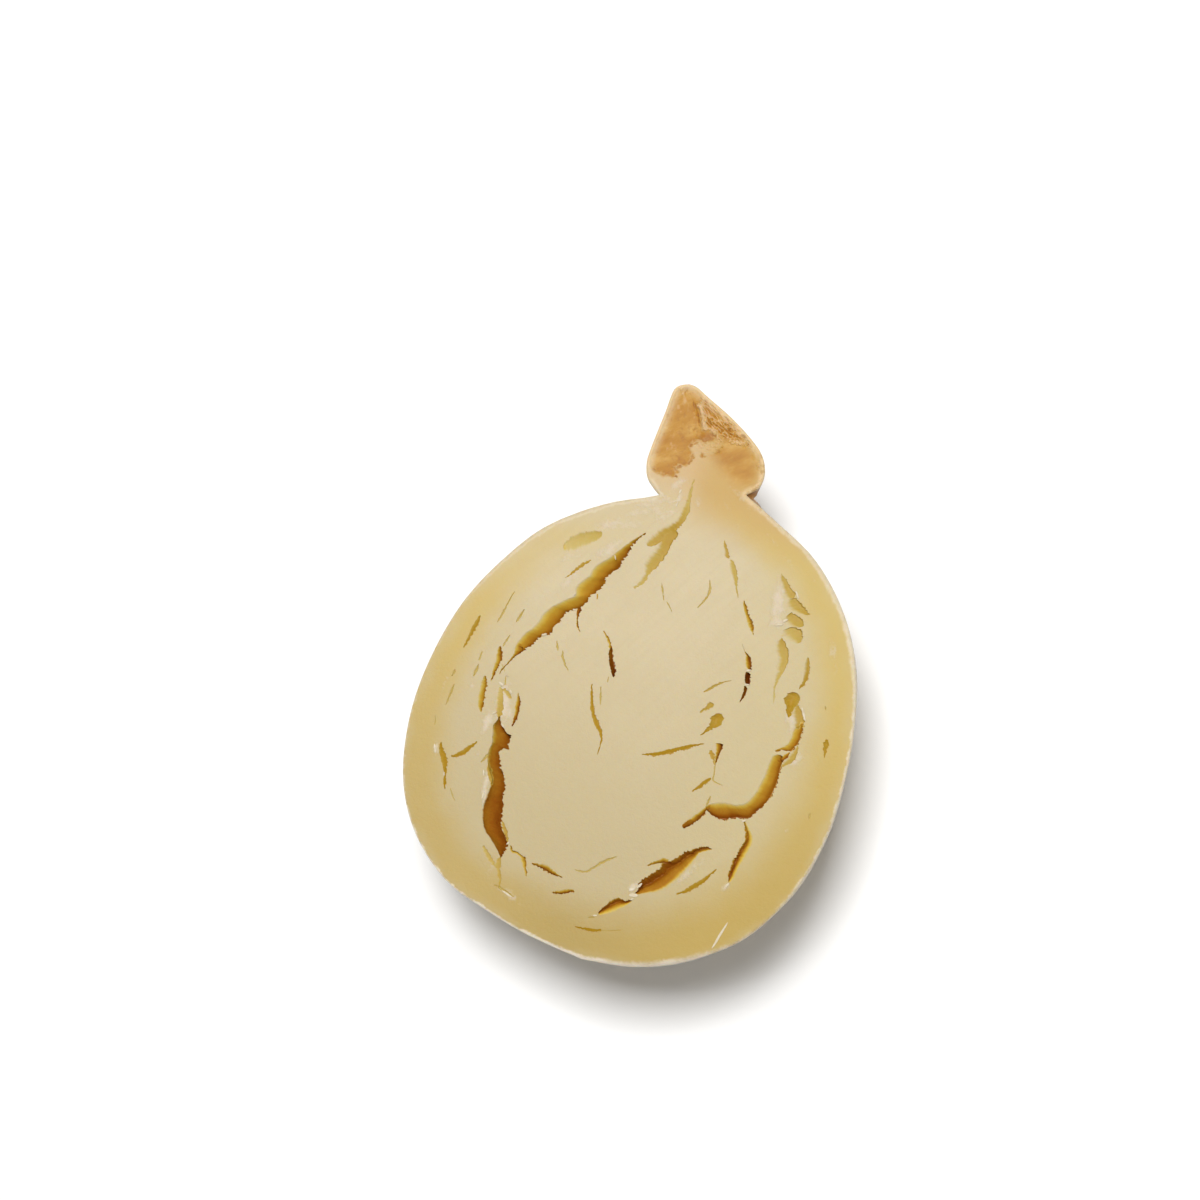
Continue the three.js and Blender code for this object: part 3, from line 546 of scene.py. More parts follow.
# Pale smears of curd dragged by the knife, as (x, y, half length, half width, direction in degrees, strength)
SMEARS = [
    (-26, 37, 7, 2.4, 55, 0.8), (-35, 24, 8, 2.2, 60, 0.7), (-38, 31, 5, 2, 35, 0.6),
    (-28, 45, 8, 2.8, 30, 0.7), (-21, 47, 5, 2, 35, 0.6), (-44, 14, 6, 1.6, 65, 0.4),
    (-14, 55, 6, 2.2, 40, 0.6), (-8.4, 60.5, 3.4, 1, 85, 0.9), (-10, 65, 5, 2.4, 60, 0.6),
    (35.2, 36, 9, 2.6, 104, 0.95), (36.6, 28.8, 3.8, 1.1, 22, 1), (-16, 57, 8, 2.4, 30, 0.7),
    (-11, 53.5, 6, 1.8, 50, 0.7), (-21, 51.5, 7, 1.8, 30, 0.6), (27, 56, 3.4, 1, -30, 0.7),
    (35, 50, 4, 1, -20, 0.7), (43.5, 47.6, 4, 1, -30, 0.55), (44, 21, 6, 1.2, 100, 0.5),
    (58, 25, 9, 1.8, 115, 0.5), (-45, -24, 8, 3, 100, 1), (-42, -28, 5, 2.4, 100, 0.9),
    (-48, -33, 6, 1.6, 95, 0.9), (-57, -22, 7, 1.8, 100, 0.5), (-66, -24, 10, 1, 98, 0.5),
    (-62.5, -45, 3.4, 1.2, 115, 1), (-41.5, -54, 9, 1.4, 98, 0.8), (-48, -44, 4, 1.6, 40, 0.4),
    (33, 9, 6, 1.5, 100, 0.6), (28, -17, 3.4, 1.4, 150, 0.5), (51, -1, 6, 2.4, 110, 0.8),
    (57, -13, 4.4, 1.8, 75, 0.8), (17.5, -70.5, 4.4, 1.6, 50, 0.9), (-22, -86, 7, 1.4, -16, 0.8),
    (47.4, -61, 2.6, 1.4, 60, 0.7), (34, -60, 9, 1.5, 60, 0.75), (6.6, -77, 4, 0.9, 100, 0.4),
    (-31, -79, 5, 2, 110, 0.5), (34, -36, 4, 1.4, 40, 0.4), (51.5, 62, 6, 2, -35, 0.4),
    (14, 55, 5, 1.6, 100, 0.4), (-1.6, 61, 5, 1.2, 105, 0.5), (12, 67, 6, 1.6, -28, 0.5),
    (5, 58, 6, 1.4, 115, 0.4), (9, 62, 4, 1, 140, 0.4), (61.2, -38, 2.4, 0.8, 100, 0.6),
]
# Small flakes and lips of torn curd, as (x, y, length, width, height, direction in degrees)
FLAKES = [
    (-38.3, 2.3, 2, 0.8, 0.6, 30), (-32.6, 18.6, 1.4, 0.7, 0.5, 60), (-23, 34.8, 1.8, 0.5, 0.5, -60),
    (-31, 13.5, 1.2, 0.6, 0.4, 0), (-47.4, -18.2, 2.2, 0.8, 0.6, -20), (-43.2, -19.8, 1.6, 0.7, 0.5, -40),
    (-46.5, -28.4, 1.8, 0.6, 0.5, 40), (-42.4, -31.6, 1.8, 0.6, 0.5, -40),
    (-62.4, -46, 3.2, 0.8, 0.4, 115), (-43.6, -49, 2.2, 0.6, 0.4, 110), (-41.4, -56.4, 2.6, 0.6, 0.4, 95),
    (32.6, 11, 2, 0.6, 0.5, 20), (33.6, 6.2, 1.8, 0.6, 0.5, 10), (19.4, -69.3, 2.4, 0.8, 0.6, 60),
    (17.4, -71.2, 2.6, 1.1, 0.5, 40), (18.4, -73, 3, 1.3, 0.5, 15), (54.9, 2.2, 5, 0.8, 0.6, -58),
    (37.6, 28.8, 3.2, 0.9, 0.6, 20), (39.4, 30.8, 2, 0.8, 0.5, 45), (40.6, 40.4, 2.8, 0.7, 0.5, -55),
    (50.3, -77, 10.4, 0.8, 0.3, 76), (47.7, -60.2, 1.8, 0.9, 0.5, 70), (-8.5, 63, 1.6, 0.6, 0.4, 80),
    (-8.3, 58.4, 2, 0.6, 0.4, 85), (-23, -85.6, 4, 0.6, 0.16, -16), (18.4, -74.4, 1.2, 0.6, 0.5, 30),
    (8, -83.4, 1.4, 0.5, 0.35, 20), (46.4, -38, 1.6, 0.7, 0.5, 30), (-28, -69.2, 1.4, 0.6, 0.4, 60),
    (-56.6, -53.4, 1.4, 0.5, 0.4, 110),
]
FLAKE_TEARING = 0.5
FLAKE_CURL = 0.25
FLAKE_LIFT = 0.1

# Camera of the photograph: it looks down on the cut face from the lower right of the picture
VIEW_TILT = math.radians(12)
VIEW_SIDE = math.radians(-27)
PICTURE_LEAN = math.radians(18)
LENS = 90
SENSOR = 36
VIEW_DISTANCE = 1020
PICTURE_SIDE = 1200
FACE_CENTRE_PIXEL = (647.8, 673.4)

# Floor and light, in metres and watts
FLOOR_SIDE = 8
FLOOR_WHITE = (0.97, 0.97, 0.97, 1)
FLOOR_ROUGHNESS = 0.9
KEY_PLACE = Vector((-0.06, 0.38, 2.3))
KEY_SIDE = 0.65
KEY_ENERGY = 50
SKY_WHITE = (1, 1, 1, 1)
SKY_STRENGTH = 0.28
LIGHT_ON_FACE = 1.18

# Colours as they look in that light, red, green and blue from 0 to 255
COLOURS = {
    "ivory": (222, 206, 170), "cream": (209, 191, 150), "low_cream": (202, 184, 140),
    "right_cream": (208, 190, 140), "knife_stroke": (203, 184, 142), "scraped_curd": (227, 211, 186),
    "yellow": (214, 187, 113), "low_left_yellow": (198, 170, 97), "low_yellow": (187, 158, 81),
    "right_yellow": (210, 183, 104), "low_right_yellow": (199, 166, 70),
    "left_neck": (216, 183, 133), "right_neck": (208, 171, 103), "dark_amber": (186, 128, 44),
    # The head's torn edges are pale and carry painted highlights; its creases carry painted shadow
    "amber": (199, 146, 59), "light_amber": (215, 171, 92), "torn_edge_highlight": (232, 196, 150),
    "crease_shadow": (170, 112, 54),
    # The rim's skin: the left ones darker as painted shade, the right, bottom and head ones paler as painted
    # light
    "dry_shaded_left_skin": (214, 197, 163), "dry_lit_right_skin": (230, 216, 186), "moist_shaded_left_skin": (228, 212, 182),
    "moist_lit_right_skin": (240, 228, 204), "lit_bottom_skin": (252, 242, 226), "inner_skin": (240, 227, 204),
    "lit_head_skin": (240, 214, 170), "scorched_skin": (172, 130, 66),
    # Walls of the splits: darker further down as painted shade, with lit copies where light reaches
    "pale_wall": (220, 200, 126), "yellow_wall": (219, 188, 88), "golden_wall": (211, 171, 58),
    "ochre_wall": (194, 143, 38), "shaded_brown_wall": (169, 103, 20), "deep_shade_wall": (140, 67, 10),
    "lit_cream": (214, 195, 132), "lit_straw": (199, 171, 86), "lit_ochre": (183, 143, 32),
    "flake": (214, 196, 158), "pale_flake": (232, 219, 192),
    "dull_rind": (202, 182, 142), "rind": (210, 192, 153), "pale_rind": (218, 201, 164),
    "rind_streak": (190, 167, 122), "nick": (168, 136, 86),
    "neck_rind": (150, 100, 48), "low_head_rind": (172, 126, 70), "head_rind": (184, 140, 82),
    "top_head_rind": (202, 162, 102), "worn_head_rind": (206, 168, 112),
}
# How cheese takes light, with depths in metres
CURD_ROUGHNESS = 0.5
CURD_GLOSS = 0.22
CURD_SCATTER = 0.4
RIND_GLOSS = 0.5
RIND_SCATTER = 0.2
FLAKE_ROUGHNESS = 0.6
CHEESE_IOR = 1.42
SCATTER_RADIUS = (1, 0.6, 0.25)
SCATTER_DEPTH = 0.0013
BUMP_HEIGHT = 0.0004
# How the rind's streaks are drawn out along the cheese
STREAK_SCALE = (1, 0.12, 1)
# Where the colours change, in metres across or along the cheese, or across less along for LOWER_RIGHT,
# as (from, to)
LOW = (0.03, -0.075)
BOTTOM = (-0.05, -0.085)
UPPER = (0, 0.03)
SHOULDER = (0.035, 0.05)
RIGHT_PASTE = (0.01, 0.05)
RIGHT_YELLOW = (0, 0.05)
LOW_LEFT = (-0.04, 0)
LOW_RIGHT = (-0.03, 0.02)
UPPER_LEFT = (0.004, -0.008)
NECK_SIDES = (-0.01, 0.002)
NECK_FROM = (0.052, 0.046)
NECK_REACH = (0, 0.022)
HEAD_SKIN_FROM = (0.06, 0.07)
SCORCHED_FROM = (0.012, 0.016)
LOWER_RIGHT = (-0.06, 0.06)
BOTTOM_RIGHT = (0, 0.03)
HEAD_RIND_FROM = (0.056, 0.066)
HEAD_RIND_LENGTH = (0.06, 0.1)


def smooth_curve(points, per_span):
    """Points of a smooth curve through the given points."""
    knots = np.array(points, float)
    padded = np.vstack([knots[:1], knots, knots[-1:]])
    curve = []
    for span in range(len(knots) - 1):
        a, b, c, d = padded[span : span + 4]
        for t in np.arange(per_span) / per_span:
            bend = (2 * a - 5 * b + 4 * c - d) * t**2 + (3 * b - a - 3 * c + d) * t**3
            curve.append(b + ((c - a) * t + bend) / 2)
    curve.append(knots[-1])
    return np.array(curve)


def evenly_spaced(curve, step):
    """The same curve with its points a step apart; of a curve with two edges, a step along its middle."""
    middle = curve[:, :2] if curve.shape[1] < 4 else (curve[:, :2] + curve[:, 2:]) / 2
    along = np.concatenate([[0], np.cumsum(np.linalg.norm(np.diff(middle, axis=0), axis=1))])
    spots = np.linspace(0, along[-1], max(8, round(along[-1] / step)) + 1)
    return np.column_stack([np.interp(spots, along, column) for column in curve.T])


LEFT_RIM = np.vstack([smooth_curve(BODY_LEFT, RIM_SPANS), smooth_curve(HEAD_LEFT, RIM_SPANS)])
RIGHT_RIM = np.vstack([smooth_curve(BODY_RIGHT, RIM_SPANS), smooth_curve(HEAD_RIGHT, RIM_SPANS)])
OUTLINE = evenly_spaced(np.vstack([LEFT_RIM, RIGHT_RIM[::-1]]), RIM_STEP)


def left_at(y):
    return np.interp(y, LEFT_RIM[:, 1], LEFT_RIM[:, 0])


def right_at(y):
    return np.interp(y, RIGHT_RIM[:, 1], RIGHT_RIM[:, 0])


def middle_at(y):
    return (left_at(y) + right_at(y)) / 2


def half_width_at(y):
    return (right_at(y) - left_at(y)) / 2


def depth_share_at(y):
    """Depth of the body behind the cut face as a share of its half width."""
    return BELLY_DEPTH * (1 - NECK_GROOVE * np.exp(-(((y - NECK_Y) / NECK_SPREAD) ** 2)))


def edge_width(points):
    """Width of the rounded edge of rind next to each point."""
    turn = np.degrees(np.arctan2(points[:, 1] - BODY_CENTRE[1], points[:, 0] - BODY_CENTRE[0]))
    return np.interp(turn, *zip(*EDGE_WIDTHS))


def fade(value, low, high):
    """0 below low, 1 above high and smooth between them."""
    t = np.clip((value - low) / (high - low), 0, 1)
    return t * t * (3 - 2 * t)


def inside(points, corners):
    """Distance into a flat shape, negative outside it."""
    corners = np.array(corners, float)
    nearest = np.full(len(points), np.inf)
    within = np.zeros(len(points), bool)
    for a, b in zip(corners, np.roll(corners, -1, axis=0)):
        run = b - a
        share = np.clip(((points - a) @ run) / (run @ run), 0, 1)
        nearest = np.minimum(nearest, np.linalg.norm(points - a - share[:, None] * run, axis=1))
        crosses = (a[1] > points[:, 1]) != (b[1] > points[:, 1])
        rise = np.where(b[1] == a[1], 1, b[1] - a[1])
        within ^= crosses & (points[:, 0] < a[0] + run[0] * (points[:, 1] - a[1]) / rise)
    return np.where(within, nearest, -nearest)


def lumps(points, size, seed):
    """Smooth noise between -1 and 1 at flat points, with lumps of the given size."""
    return np.array([noise.noise(Vector((x / size, y / size, seed))) for x, y in points])


def rough(x, y, z, size):
    """Smooth noise between -1 and 1 at one place, with lumps of the given size."""
    return noise.noise(Vector((x / size, y / size, z / size)))


def nearness(points, lines, wobble):
    """How near each point is to some lines, from 0 beyond their half width to 1 on them."""
    share = np.zeros(len(points))
    for line, half_width in lines:
        for a, b in zip(np.array(line[:-1], float), np.array(line[1:], float)):
            along = np.clip(((points - a) @ (b - a)) / ((b - a) @ (b - a)), 0, 1)
            gap = np.linalg.norm(points - a - along[:, None] * (b - a), axis=1) + 0.8 * wobble
            share = np.maximum(share, fade(half_width - gap, -0.5 * half_width, 0.6 * half_width))
    return share


def torn_head(points):
    """Height of the head's torn face over the cut's plane, how golden it is and its painted light and shade.
    """
    wobble = 0.9 * lumps(points, 2.2, 3) + 0.6 * lumps(points, 0.8, 5)
    left = fade(inside(points, LEFT_PATCH) + wobble, -0.6, 1)
    right = 0.9 * fade(inside(points, RIGHT_PATCH) + 0.4 * wobble, -4.5, 2.5)
    band = fade(inside(points, ROUGH_BAND) + wobble, -0.5, 0.6)
    tongue = fade(inside(points, TONGUE) + wobble, -0.6, 0.9)
    hollow = fade(inside(points, HOLLOW_SHADOW) + 1.6 * wobble, -1, 1.6)
    # Painted shadow in the creases and the hollow
    brown = np.maximum(0.7 * nearness(points, CREASE_SHADOWS, 1.3 * wobble), 0.55 * hollow)
    pale = nearness(points, PALE_EDGES, 1.8 * wobble)
    pale = pale * np.clip(0.75 + 1.6 * lumps(points, 1.3, 25), 0, 1)
    across_band = np.array([-BAND_RUN[1], BAND_RUN[0]])
    turned = np.column_stack([points @ BAND_RUN / BAND_FIBRE, points @ across_band])
    fibres = 1 - 3 * np.abs(lumps(turned, 0.85, 21))
    grain = lumps(points, 0.75, 22) + 0.7 * lumps(points, 0.4, 23)
    calm = 1 - 0.75 * fade(points[:, 0], *BAND_CALM_X)
    ridges = band * calm * (0.75 * fibres + 0.7 * grain)
    height = BAND_HEIGHT * ridges - LEFT_SINK * left - BAND_SINK * band - RIGHT_SINK * right
    height = height * (1 - tongue) + tongue * (TONGUE_HEIGHT + 0.3 * grain)
    height += PALE_HEIGHT * pale - SHADOWED_SINK * brown
    gold = np.maximum.reduce([left, right, band, hollow]) * (1 - 0.45 * tongue) * (1 - 0.5 * pale)
    blotches = 0.5 * lumps(points, 5, 31) + 0.5 * lumps(points, 1.6, 32)
    # Painted light and shade: ridge crests lighter as painted highlight, pale edges and the tongue paler,
    # creases darker as painted shadow
    light = 0.1 * band + 1.2 * ridges + left * (0.35 * grain + blotches) + pale + tongue * (0.3 + 0.5 * grain)
    light -= brown * (0.75 + 0.8 * lumps(points, 3, 24) + 0.4 * grain)
    return height, np.maximum(gold, brown), np.clip(light, -1, 1)


def relief(points):
    """Height of the cut face over its plane: a slight unevenness, and the torn places of the head."""
    height = sum(most * lumps(points, size, seed) for most, size, seed in UNEVENNESS)
    head = points[:, 1] > TORN_FROM_Y
    if head.any():
        height[head] += torn_head(points[head])[0]
    return height


def tree_of(points):
    """A search tree over flat points."""
    tree = kdtree.KDTree(len(points))
    for i, (x, y) in enumerate(points):
        tree.insert((x, y, 0), i)
    tree.balance()
    return tree


def rim_distance(points):
    """Distance of each point from the rim, seen from above."""
    tree = tree_of(OUTLINE)
    return np.array([tree.find((x, y, 0))[2] for x, y in points[:, :2]])


def positions(obj):
    """The vertices of a mesh object in millimetres."""
    flat = np.empty(len(obj.data.vertices) * 3)
    obj.data.vertices.foreach_get("co", flat)
    return flat.reshape(-1, 3) / MM


def face_centres(obj):
    """Centres of the faces of a mesh object in millimetres."""
    flat = np.empty(len(obj.data.polygons) * 3)
    obj.data.polygons.foreach_get("center", flat)
    return flat.reshape(-1, 3) / MM


def place(obj, points):
    """Moves the vertices of a mesh object to the given millimetres."""
    obj.data.vertices.foreach_set("co", (np.asarray(points) * MM).ravel())
    obj.data.update()


def note(obj, name, values, kind="FLOAT", domain="POINT"):
    """Writes a value down for each point or face of a mesh object."""
    obj.data.attributes.new(name, kind, domain).data.foreach_set("value", values)


def noted(obj, name, kind=float):
    """The values that were written down on a mesh object."""
    data = obj.data.attributes[name].data
    values = np.empty(len(data), kind)
    data.foreach_get("value", values)
    return values


def forget(obj, name):
    obj.data.attributes.remove(obj.data.attributes[name])


def select(objects, active):
    """Selects some objects alone and makes one of them active."""
    bpy.ops.object.select_all(action="DESELECT")
    for obj in objects:
        obj.select_set(True)
    bpy.context.view_layer.objects.active = active


def in_edit_mode(obj, step):
    """Runs a modelling step on all of an object's mesh."""
    select([obj], obj)
    bpy.ops.object.mode_set(mode="EDIT")
    bpy.ops.mesh.select_all(action="SELECT")
    step()
    bpy.ops.object.mode_set(mode="OBJECT")


def on_faces(obj, chosen, step):
    """Runs a modelling step on chosen faces."""
    in_edit_mode(obj, lambda: bpy.ops.mesh.select_all(action="DESELECT"))
    bpy.context.tool_settings.mesh_select_mode = (False, False, True)
    obj.data.polygons.foreach_set("select", chosen)
    bpy.ops.object.mode_set(mode="EDIT")
    step()
    bpy.ops.object.mode_set(mode="OBJECT")


def close_skin():
    """Welds what meets and turns the faces outwards."""
    bpy.ops.mesh.remove_doubles(threshold=WELD)
    bpy.ops.mesh.dissolve_degenerate(threshold=SLIVER)
    bpy.ops.mesh.select_all(action="SELECT")
    bpy.ops.mesh.normals_make_consistent(inside=False)


def new_grid(name, columns, rows):
    """A flat grid, two units wide and long."""
    bpy.ops.mesh.primitive_grid_add(x_subdivisions=columns, y_subdivisions=rows, size=2)
    grid = bpy.context.object
    grid.name = name
    return grid


def grid_numbers(obj, columns, rows):
    """Column, row and height of each vertex of a grid that is still two units wide and long."""
    x, y, z = (positions(obj) * MM).T
    column = np.rint((x + 1) / 2 * columns).astype(int)
    row = np.rint((y + 1) / 2 * rows).astype(int)
    return column, row, z


def row_heights():
    """Places of the rows of the skin along the cheese, close together at both ends and on the head."""
    ends = END_REACH * (1 - np.cos(np.linspace(0, np.pi / 2, END_ROWS + 1)))
    bottom = BOTTOM_Y + ends[:-1]
    top = (TOP_Y - ends[:-1])[::-1]
    body = np.arange(BOTTOM_Y + END_REACH, HEAD_FROM_Y, BODY_ROW)
    head = np.arange(HEAD_FROM_Y, TOP_Y - END_REACH, HEAD_ROW)
    return np.concatenate([bottom, body, head, top])


def belly_drop(y, turn):
    """Depth of the rind under the cut face at a place along the cheese and a turn around it, and its wave."""
    phase = WAVES_AROUND * -turn + 2 * np.pi * y / WAVE_LENGTH
    wave = 1 + WAVE_SHARE * np.sin(phase) * np.sin(turn) ** 2
    return half_width_at(y) * wave * depth_share_at(y) * np.sin(turn), wave


def uncut_half(curd, rind):
    """The closed half before it split: a grid on the cut face, drawn down to the rind."""
    heights = row_heights()
    rows = len(heights) - 1
    half = new_grid("cheese_half_curd", COLUMNS, rows)
    draw_down = {"value": (0, 0, -1)}
    in_edit_mode(half, lambda: bpy.ops.mesh.extrude_region_move(TRANSFORM_OT_translate=draw_down))
    column, row, level = grid_numbers(half, COLUMNS, rows)
    under = level < -0.5
    y = heights[row]
    turn = np.pi * (1 - column / COLUMNS)
    drop, wave = belly_drop(y, turn)
    x = middle_at(y) + half_width_at(y) * np.cos(turn) * np.where(under, wave, 1)
    flat = np.column_stack([x, y])
    edge = edge_width(flat)
    from_rim = np.minimum(rim_distance(flat), edge)
    rounded = edge - np.sqrt(edge**2 - (edge - from_rim) ** 2)
    on_rim = (column == 0) | (column == COLUMNS) | (row == 0) | (row == rows)
    rounded[on_rim] = edge[on_rim]
    down = np.where(under, np.maximum(drop, edge), rounded)
    place(half, np.column_stack([x, y, np.maximum(FACE - down, 0)]))
    note(half, "on_top", (~under | on_rim).astype(float))
    in_edit_mode(half, close_skin)
    top_faces = faces_on_top(half)
    half.data.materials.append(curd)
    half.data.materials.append(rind)
    half.data.polygons.foreach_set("material_index", np.where(top_faces, 0, 1))
    centres = face_centres(half)
    finest = top_faces & (centres[:, 1] > FINEST_FROM_Y) & (rim_distance(centres) > FINEST_FROM_RIM)
    on_faces(half, finest, lambda: bpy.ops.mesh.subdivide(number_cuts=1))
    shape_skin(half)
    note(half, "is_wall", [False] * len(half.data.polygons), "BOOLEAN", "FACE")
    return half


def faces_on_top(half):
    """Which faces belong to the cut face and its rounded edge."""
    on_top = noted(half, "on_top")
    return np.array([on_top[list(face.vertices)].min() > 0.5 for face in half.data.polygons])


def shape_skin(half):
    """Gives the cut face its unevenness and the rind its pleats, fold and dents."""
    points = positions(half)
    top = noted(half, "on_top") > 0.5
    forget(half, "on_top")
    flat = points[top, :2]
    edge = edge_width(flat)
    points[top, 2] += relief(flat) * fade(rim_distance(flat), 0.4 * edge, edge + 0.8)
    x, y, z = points.T
    turn = np.arctan2(FACE - z, x - middle_at(y))
    free = fade(FACE - z, *KEPT_UNDER_FACE) * fade(z, *KEPT_OVER_SPOT)
    folds = np.abs(np.sin(PLEATS_AROUND * turn + 1.3 * np.sin(3 * turn) + y / 14)) ** 0.7
    pleats = np.exp(-(((y - NECK_Y) / PLEAT_SPREAD) ** 2)) * folds
    places = [Vector(point) for point in points]
    dents = np.array([sum(most * noise.noise(spot / size) for most, size in DENTS) for spot in places])
    around_and_along = np.column_stack([turn, y])
    ridges = 1 - 2.6 * np.abs(lumps(around_and_along * (5, 1 / 9), 1, 4))
    crumple = ridges + 0.6 * lumps(around_and_along * (10, 1 / 3), 1, 8)
    crumple *= CRUMPLE_HEIGHT * fade(y, *CRUMPLE_FROM_Y)
    out = dents + crumple - PLEAT_DEPTH * pleats
    away = 1 + out / np.maximum(half_width_at(y), SMALLEST_HALF_WIDTH) * free
    below = ~top
    points[below, 0] = (middle_at(y) + (x - middle_at(y)) * away)[below]
    points[below, 2] = np.where(z < 0.01, z, FACE - (FACE - z) * away)[below]
    fold = np.exp(-(((y - FOLD_Y) / FOLD_SPREAD) ** 2)) * fade(turn, 1, 0.2) * fade(FACE - z, 1.2, 4)
    points[below, 0] += (FOLD_OUT * fold)[below]
    points[:, 2] = np.maximum(points[:, 2], 0)
    place(half, points)


def split_path(stations):
    """A split's even path: places along its middle, half widths and directions to its near edge."""
    path = evenly_spaced(smooth_curve(stations, SPLIT_SPANS), SPLIT_STEP)
    if path.shape[1] == 4:
        across = (path[:, 2:] - path[:, :2]) / 2
        half_width = np.maximum(np.linalg.norm(across, axis=1), NARROWEST / 2)
        return (path[:, :2] + path[:, 2:]) / 2, half_width, across / half_width[:, None]
    ahead = np.gradient(path[:, :2], axis=0)
    ahead /= np.linalg.norm(ahead, axis=1)[:, None]
    side = np.column_stack([-ahead[:, 1], ahead[:, 0]])
    camera_side = np.array([math.cos(VIEW_SIDE), math.sin(VIEW_SIDE)])
    if (side @ camera_side).mean() < 0:
        side = -side
    return path[:, :2], np.maximum(path[:, 2], NARROWEST) / 2, side


def lip_teeth(x, y, number, sign):
    """Raggedness of a split's lip at one place, from coarse to fine."""
    teeth = 0.5 * rough(x, y, number * 7 + sign, 2.6) + 0.7 * rough(x, y, number * 5 - sign, 1.1)
    return teeth + 1.1 * rough(x, y, number * 3 - sign, 0.45)


def split_blade(name, number, path, depth, walls, ragged):
    """A solid of the empty space in one split, to be cut out of the half."""
    spots, half_width, side = path
    levels = len(walls)
    around = 2 * (levels + 1)
    last = len(spots) - 1
    blade = new_grid(name, last, around)
    column, turn, _ = grid_numbers(blade, last, around)
    points = np.empty((len(column), 3))
    for vertex, (spot, corner) in enumerate(zip(column, turn % around)):
        x, y = spots[spot]
        if spot in (0, last):
            points[vertex] = x, y, FACE + CLEAR_ABOVE
            continue
        far = corner <= levels
        level = corner - 1 if far else around - 2 - corner
        sunk, far_wall, near_wall = walls[max(level, 0)]
        sunk *= depth[spot]
        sign = -1 if far else 1
        width = half_width[spot]
        tearing = min(ragged[0 if far else 1], MOST_TORN * width)
        edge = (far_wall if far else near_wall) * width
        edge += sign * tearing * lip_teeth(x, y, number, sign) / (1 + 0.5 * sunk)
        edge += min(WALL_LUMP, 0.3 * width) * rough(x, y, sunk + number, 2.2) * min(1, sunk)
        height = CLEAR_ABOVE if level < 0 else -sunk
        points[vertex] = x + side[spot, 0] * edge, y + side[spot, 1] * edge, FACE + height
    place(blade, points)
    in_edit_mode(blade, close_skin)
    note(blade, "is_wall", [True] * len(blade.data.polygons), "BOOLEAN", "FACE")
    return blade


def apart(path, others):
    """Whether a path's split stays clear of other splits."""
    spots, half_width, _ = path
    for other_spots, other_width, _ in others:
        gap = np.linalg.norm(spots[:, None] - other_spots[None], axis=2)
        if (gap - BLADE_MARGIN * half_width[:, None] - BLADE_MARGIN * other_width[None] < BLADE_GAP).any():
            return False
    return True


def split_blades():
    """Every split's blade, in groups whose blades don't touch, and the splits' places with their tones."""
    groups = []
    toned = []
    splits = [(kind, *split) for kind in KINDS for split in kind["splits"].items()]
    for number, (kind, name, stations) in enumerate(splits, 1):
        path = split_path(stations)
        spots, half_width, _ = path
        widest = half_width.max() * 2
        depth = widest * (2 * half_width / widest) ** DEPTH_FOLLOWS_WIDTH
        walls = OTHER_WALLS.get(name, kind["walls"])
        blade = split_blade(name, number, path, depth, walls, kind["ragged"])
        tone = TONES.get(name, kind["tone"])
        tones = np.interp(np.linspace(0, 1, len(spots)), np.linspace(0, 1, len(tone)), tone)
        toned.append(np.column_stack([spots, half_width, tones, depth * walls[-1][0]]))
        group = next((g for g in groups if apart(path, g["paths"])), None)
        if group is None:
            group = {"paths": [], "blades": []}
            groups.append(group)
        group["paths"].append(path)
        group["blades"].append(blade)
    return [group["blades"] for group in groups], np.vstack(toned)


def cut_out(half, blades):
    """Cuts a group of blades out of the half."""
    select(blades, blades[0])
    bpy.ops.object.join()
    cutter = bpy.context.object
    select([half], half)
    cut = half.modifiers.new("split", "BOOLEAN")
    cut.operation = "DIFFERENCE"
    cut.solver = "MANIFOLD"
    cut.object = cutter
    bpy.ops.object.modifier_apply(modifier=cut.name)
    bpy.data.objects.remove(cutter, do_unlink=True)


def sharpen_lips(half):
    """Makes the edges sharp where the walls of the splits meet the cut face."""

    def sharpen():
        bpy.ops.mesh.region_to_loop()
        bpy.ops.mesh.mark_sharp()

    on_faces(half, noted(half, "is_wall", bool), sharpen)
    forget(half, "is_wall")


def smeared(points):
    """How much pale smeared curd lies on each point."""
    share = np.zeros(len(points))
    for x, y, half_length, half_width, direction, strength in SMEARS:
        run = np.array([math.cos(math.radians(direction)), math.sin(math.radians(direction))])
        away = points - (x, y)
        along = (away @ run) / half_length
        across = (away @ np.array([-run[1], run[0]])) / half_width
        share = np.maximum(share, strength * np.exp(-1.2 * (along**2 + across**2)))
    return share


def split_tones(points, from_rim, toned):
    """How far down a split's wall each point is, from 0 to 1, and that split's tone, from which its shade is
    painted.
    """
    flat = points[:, :2]
    shade = np.zeros(len(points))
    tone = np.zeros(len(points))
    tree = tree_of(toned[:, :2])
    level = FACE + relief(flat) - points[:, 2]
    on_wall = (level > SHALLOWEST_WALL) & (from_rim > SOUND_RIM) & (level < DEEPEST_WALL)
    for vertex in np.flatnonzero(on_wall):
        near = tree.find_range((*flat[vertex], 0), TONE_REACH)
        reaches = ((gap / (TONE_SHARE * toned[spot, 2] + TONE_MARGIN), spot) for _, spot, gap in near)
        reach, nearest = min(reaches, default=(np.inf, 0))
        if reach < 1:
            shade[vertex] = min(level[vertex] / toned[nearest, 4], 1)
            tone[vertex] = toned[nearest, 3]
    return shade, tone


